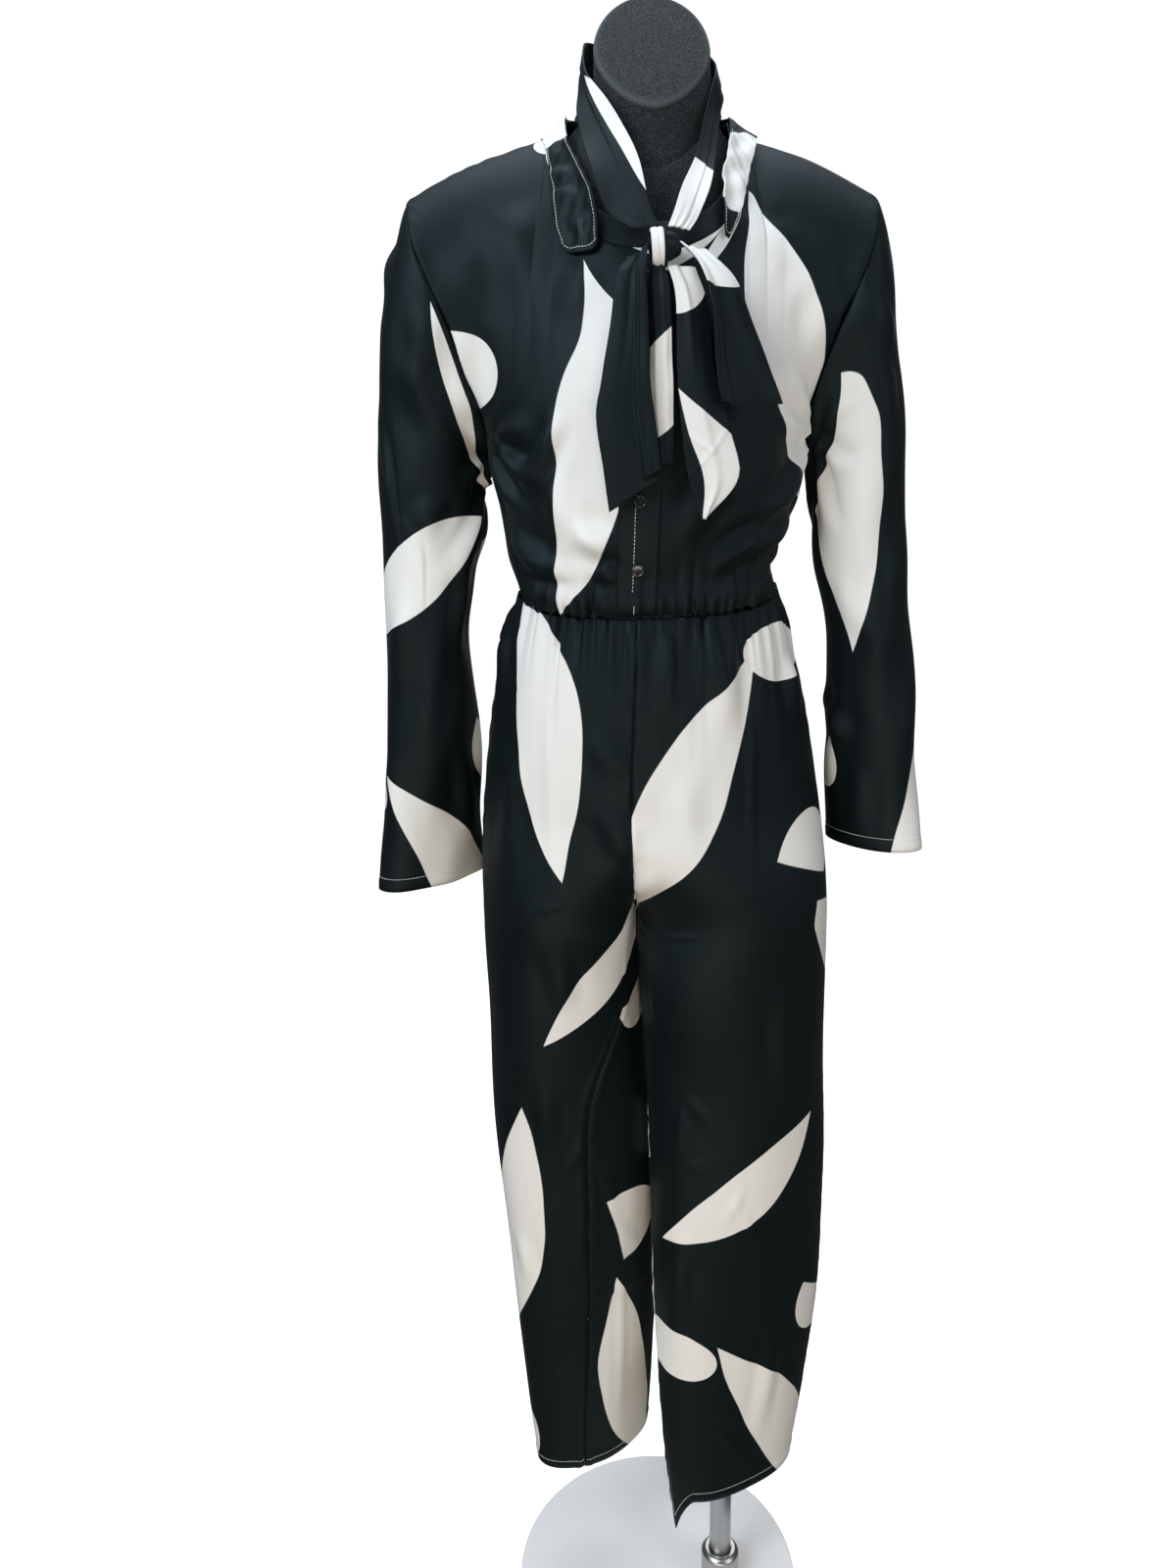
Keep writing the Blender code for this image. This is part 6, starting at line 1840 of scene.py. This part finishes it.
def form_side(side, face, across, up):
    """A quarter of the trunk: oval sections up to the chest, then columns bent like arches."""
    angle = across * np.pi / 2
    height, wide, front_deep, back_deep = read_columns(FORM_ROWS, np.clip(up / FORM_CHEST_SHARE, 0, 1))
    deep = front_deep if face == FRONT else back_deep
    x = FORM_CENTRE_X + side * wide * np.cos(angle)
    lift = 0.03 * np.sin(angle) ** 2 * smooth((up - 0.40) / 0.2)
    body = np.stack([x, face * deep * np.sin(angle), height + lift], -1)
    part = np.clip((up - FORM_CHEST_SHARE) / (1 - FORM_CHEST_SHARE), 0, 1)
    above = mix(body, form_top(side, face, across), arch_share(part, 1 - 0.6 * across))
    return np.where((up <= FORM_CHEST_SHARE)[..., None], body, above)


def form_round(around, up):
    """All four quarters in turn: left back, right back, right front, left front."""
    order = ((LEFT, BACK, False), (RIGHT, BACK, True), (RIGHT, FRONT, False), (LEFT, FRONT, True))
    return four_quarters(around, lambda *quarter: form_side(*quarter, up), order)


def pointed_oval(turn):
    """A circle whose front half is a little pointed: cosine and sine to the power 1.12 there."""
    power = np.where(np.sin(turn) < 0, 1.12, 1.0)
    return signed_power(np.cos(turn), power), signed_power(np.sin(turn), power)


def form_neck(around, up):
    """From the foot of the neck, in at first and then straight up to the slanted cut.

    At the foot the sides swell by 6 mm and run out into the shoulders.
    """
    turn = around * 2 * np.pi
    sine, cosine = np.sin(turn), np.cos(turn)
    foot_y = np.where(sine < 0, NECK_BASE_DEPTH[FRONT] * -sine, NECK_BASE_DEPTH[BACK] * sine)
    base = np.where(sine < 0, NECK_BASE_HEIGHT[FRONT], NECK_BASE_HEIGHT[BACK])
    foot = np.stack([NECK_BASE[0] * cosine, foot_y, mix(NECK_BASE[1], base, sine**2)], -1)
    across, forth = pointed_oval(turn)
    x = NECK_CENTRE_X + NECK_HALF_WIDTH * across
    y = NECK_CENTRE_Y + NECK_HALF_DEPTH * forth
    head = np.stack([x, y, CAP_CENTRE_HEIGHT + math.tan(CAP_TILT) * (y - NECK_CENTRE_Y)], -1)
    inward = smooth(up / 0.5) ** 0.8
    points = mix(foot, head, np.stack([inward, inward, up], -1))
    points[..., 0] += 0.0060 * cosine * np.exp(-(((points[..., 2] - 1.590) / 0.020) ** 2))
    return points


def still(points, normals, across, along):
    """No height at all: the piece is smooth."""
    return np.zeros(points.shape[:-1])


def close_ends(piece, fill=True):
    """Welds a tube and fills its open ends, with a sharp edge wherever it turns by 50 degrees."""
    weld(piece, 1e-6, fill)
    piece.data.set_sharp_from_angle(angle=math.radians(50))


def slimmer_waist(points, normals, around, up):
    """-6.5 mm at the waist, as exp(-((z - 1.20) / 0.035)^2), where the elastic grips the form."""
    return -0.0065 * np.exp(-(((points[..., 2] - 1.200) / 0.035) ** 2))


trunk_shape = shaped(
    form_round, np.linspace(0, 1, 145), np.linspace(0, 1, 91), slimmer_waist, closed=True
)
trunk = grid_piece("flocked_trunk", "form_torso", trunk_shape, flock, 0)
close_ends(trunk)
neck_shape = shaped(form_neck, np.linspace(0, 1, 121), np.linspace(-0.02, 1, 41), still, closed=True)
neck = grid_piece("flocked_neck", None, neck_shape, flock, 0)
close_ends(neck)

# %% Neck cap
CAP_RADIUS, CAP_ROUND = 0.0497, 0.007
turn = np.linspace(0, np.pi / 2, 15)
edge = [CAP_RADIUS - CAP_ROUND + CAP_ROUND * np.cos(turn), 0.0004 + 0.0062 * np.sin(turn)]
inner = np.linspace(CAP_RADIUS - CAP_ROUND, 0, 12)[1:]
dome = [inner, 0.0066 + 0.0016 * (1 - (inner / (CAP_RADIUS - CAP_ROUND)) ** 2)]
cap_profile = np.concatenate([[[0, CAP_RADIUS], [0, 0]], edge, dome], axis=1)


def neck_cap(around, along):
    """The cap's profile on an oval, tilted with the neck's cut and rising to the back."""
    turn = around * 2 * np.pi
    place = along * (cap_profile.shape[1] - 1)
    reach = np.interp(place, np.arange(cap_profile.shape[1]), cap_profile[0])
    height = np.interp(place, np.arange(cap_profile.shape[1]), cap_profile[1])
    share = reach / CAP_RADIUS
    depth = (NECK_HALF_DEPTH + 0.0002) / math.cos(CAP_TILT)
    across, forth = pointed_oval(turn)
    p, q = reach * across, depth * share * forth
    y = q * math.cos(CAP_TILT) - height * math.sin(CAP_TILT)
    z = q * math.sin(CAP_TILT) + height * math.cos(CAP_TILT)
    seat = (NECK_CENTRE_X, NECK_CENTRE_Y, CAP_CENTRE_HEIGHT)
    return np.stack([p, y, z], -1) + seat


cap_normal = (0.0, -math.sin(CAP_TILT), math.cos(CAP_TILT))
plane = NECK_CENTRE_Y * cap_normal[1] + CAP_CENTRE_HEIGHT * cap_normal[2]
# painted highlight: the cap's fibres are paler than the trunk's for the light on its upward face, and a pale
# band is painted along its rounded edge
cap_flock = charcoal_flock("nylon_flock_painted_highlight", "#5b6161", (cap_normal, plane - 0.0005, plane + 0.0066))
cap_along = np.linspace(0, 1, cap_profile.shape[1])
cap_shape = shaped(neck_cap, np.linspace(0, 1, 121), cap_along, still, closed=True)
cap = grid_piece("flocked_cap", "neck_cap", cap_shape, cap_flock, 0)
close_ends(cap, fill=False)


# %% [markdown]
# ## Stand
# A tube of satin stainless steel carries the form. It is screwed to a flange under the form and
# held in a turned socket on a heavy round plate, which is powder coated in pale grey.


# %% Metals
def satin_steel():
    """Stainless steel tube, drawn and then brushed round: fine level scratches, soft gloss."""
    material, tree, shader = new_finish("brushed_stainless_steel", Metallic=1.0, Anisotropic=0.4)
    own = add(tree, "TexCoord").outputs["Object"]
    level = add(tree, "Mapping", Vector=own, Scale=(8.0, 8.0, 1600.0)).outputs[0]
    brush = noise(tree, level, 1.0, 4.0)
    tree.links.new(blend(tree, brush, "#9b9b99", "#c9c9c6"), shader.inputs["Base Color"])
    rough = add(tree, "MapRange", Value=brush, i3=0.24, i4=0.40).outputs[0]
    tree.links.new(rough, shader.inputs["Roughness"])
    return material


def powder_coat():
    """Polyester powder coat, baked: an even satin skin with fine orange peel."""
    material, tree, shader = new_finish("pale_powder_coat", Roughness=0.42)
    own = add(tree, "TexCoord").outputs["Object"]
    colour = blend(tree, noise(tree, own, 14.0, 3.0), "#eeeeec", "#f6f6f4")
    tree.links.new(colour, shader.inputs["Base Color"])
    peel = noise(tree, own, 700.0, 1.0)
    bump = add(tree, "Bump", Height=peel, Strength=0.25, Distance=0.0003).outputs[0]
    tree.links.new(bump, shader.inputs["Normal"])
    return material


steel, coat = satin_steel(), powder_coat()

# %% Stand pieces
POLE_X, POLE_Y, POLE_FOOT, POLE_RADIUS = 0.075, -0.013, 0.0083, 0.0125
PLATE, FLANGE, SOCKET = (0.165, 0.008), (0.028, 0.005), (0.022, 0.040)
up_line = (0, 0, 1)
flange_z = FORM_ROWS[0][0] - 0.0003 - FLANGE[1]
plate = rounded_profile([(0, 0), (PLATE[0], 0), (PLATE[0], PLATE[1]), (0, PLATE[1])], 0.0025, 6)
turned("coated_base_plate", "base_plate", (0, 0, 0), up_line, *plate, coat, "plate", sides=192)
tube = rounded_profile(
    [(0, 0), (POLE_RADIUS, 0), (POLE_RADIUS, flange_z - 0.0086), (0, flange_z - 0.0086)], 0.0008, 3
)
turned("steel_pole", "pole", (POLE_X, POLE_Y, POLE_FOOT), up_line, *tube, steel, "steel")
disc = rounded_profile([(0, 0), (FLANGE[0], 0), (FLANGE[0], FLANGE[1]), (0, FLANGE[1])], 0.001, 3)
turned("steel_flange", "pole_flange", (POLE_X, POLE_Y, flange_z), up_line, *disc, steel, "steel")
inside = POLE_RADIUS + 0.0003
collar_ring = rounded_profile(
    [
        (inside, 0.002),
        (inside, 0),
        (SOCKET[0], 0),
        (SOCKET[0], SOCKET[1] - 0.004),
        (SOCKET[0] - 0.004, SOCKET[1]),
        (inside, SOCKET[1]),
        (inside, 0.002),
    ],
    0.0012,
    4,
)
turned("steel_socket", "pole_socket", (POLE_X, POLE_Y, POLE_FOOT), up_line, *collar_ring, steel, "steel")


# %% [markdown]
# ## Flat sizes
# Each piece of cloth is stated as the flat piece it was cut from: its widest row, its longest
# column and the area of all the little cells between them.


for name, shape in shapes.items():
    if name == "knot_core":
        continue
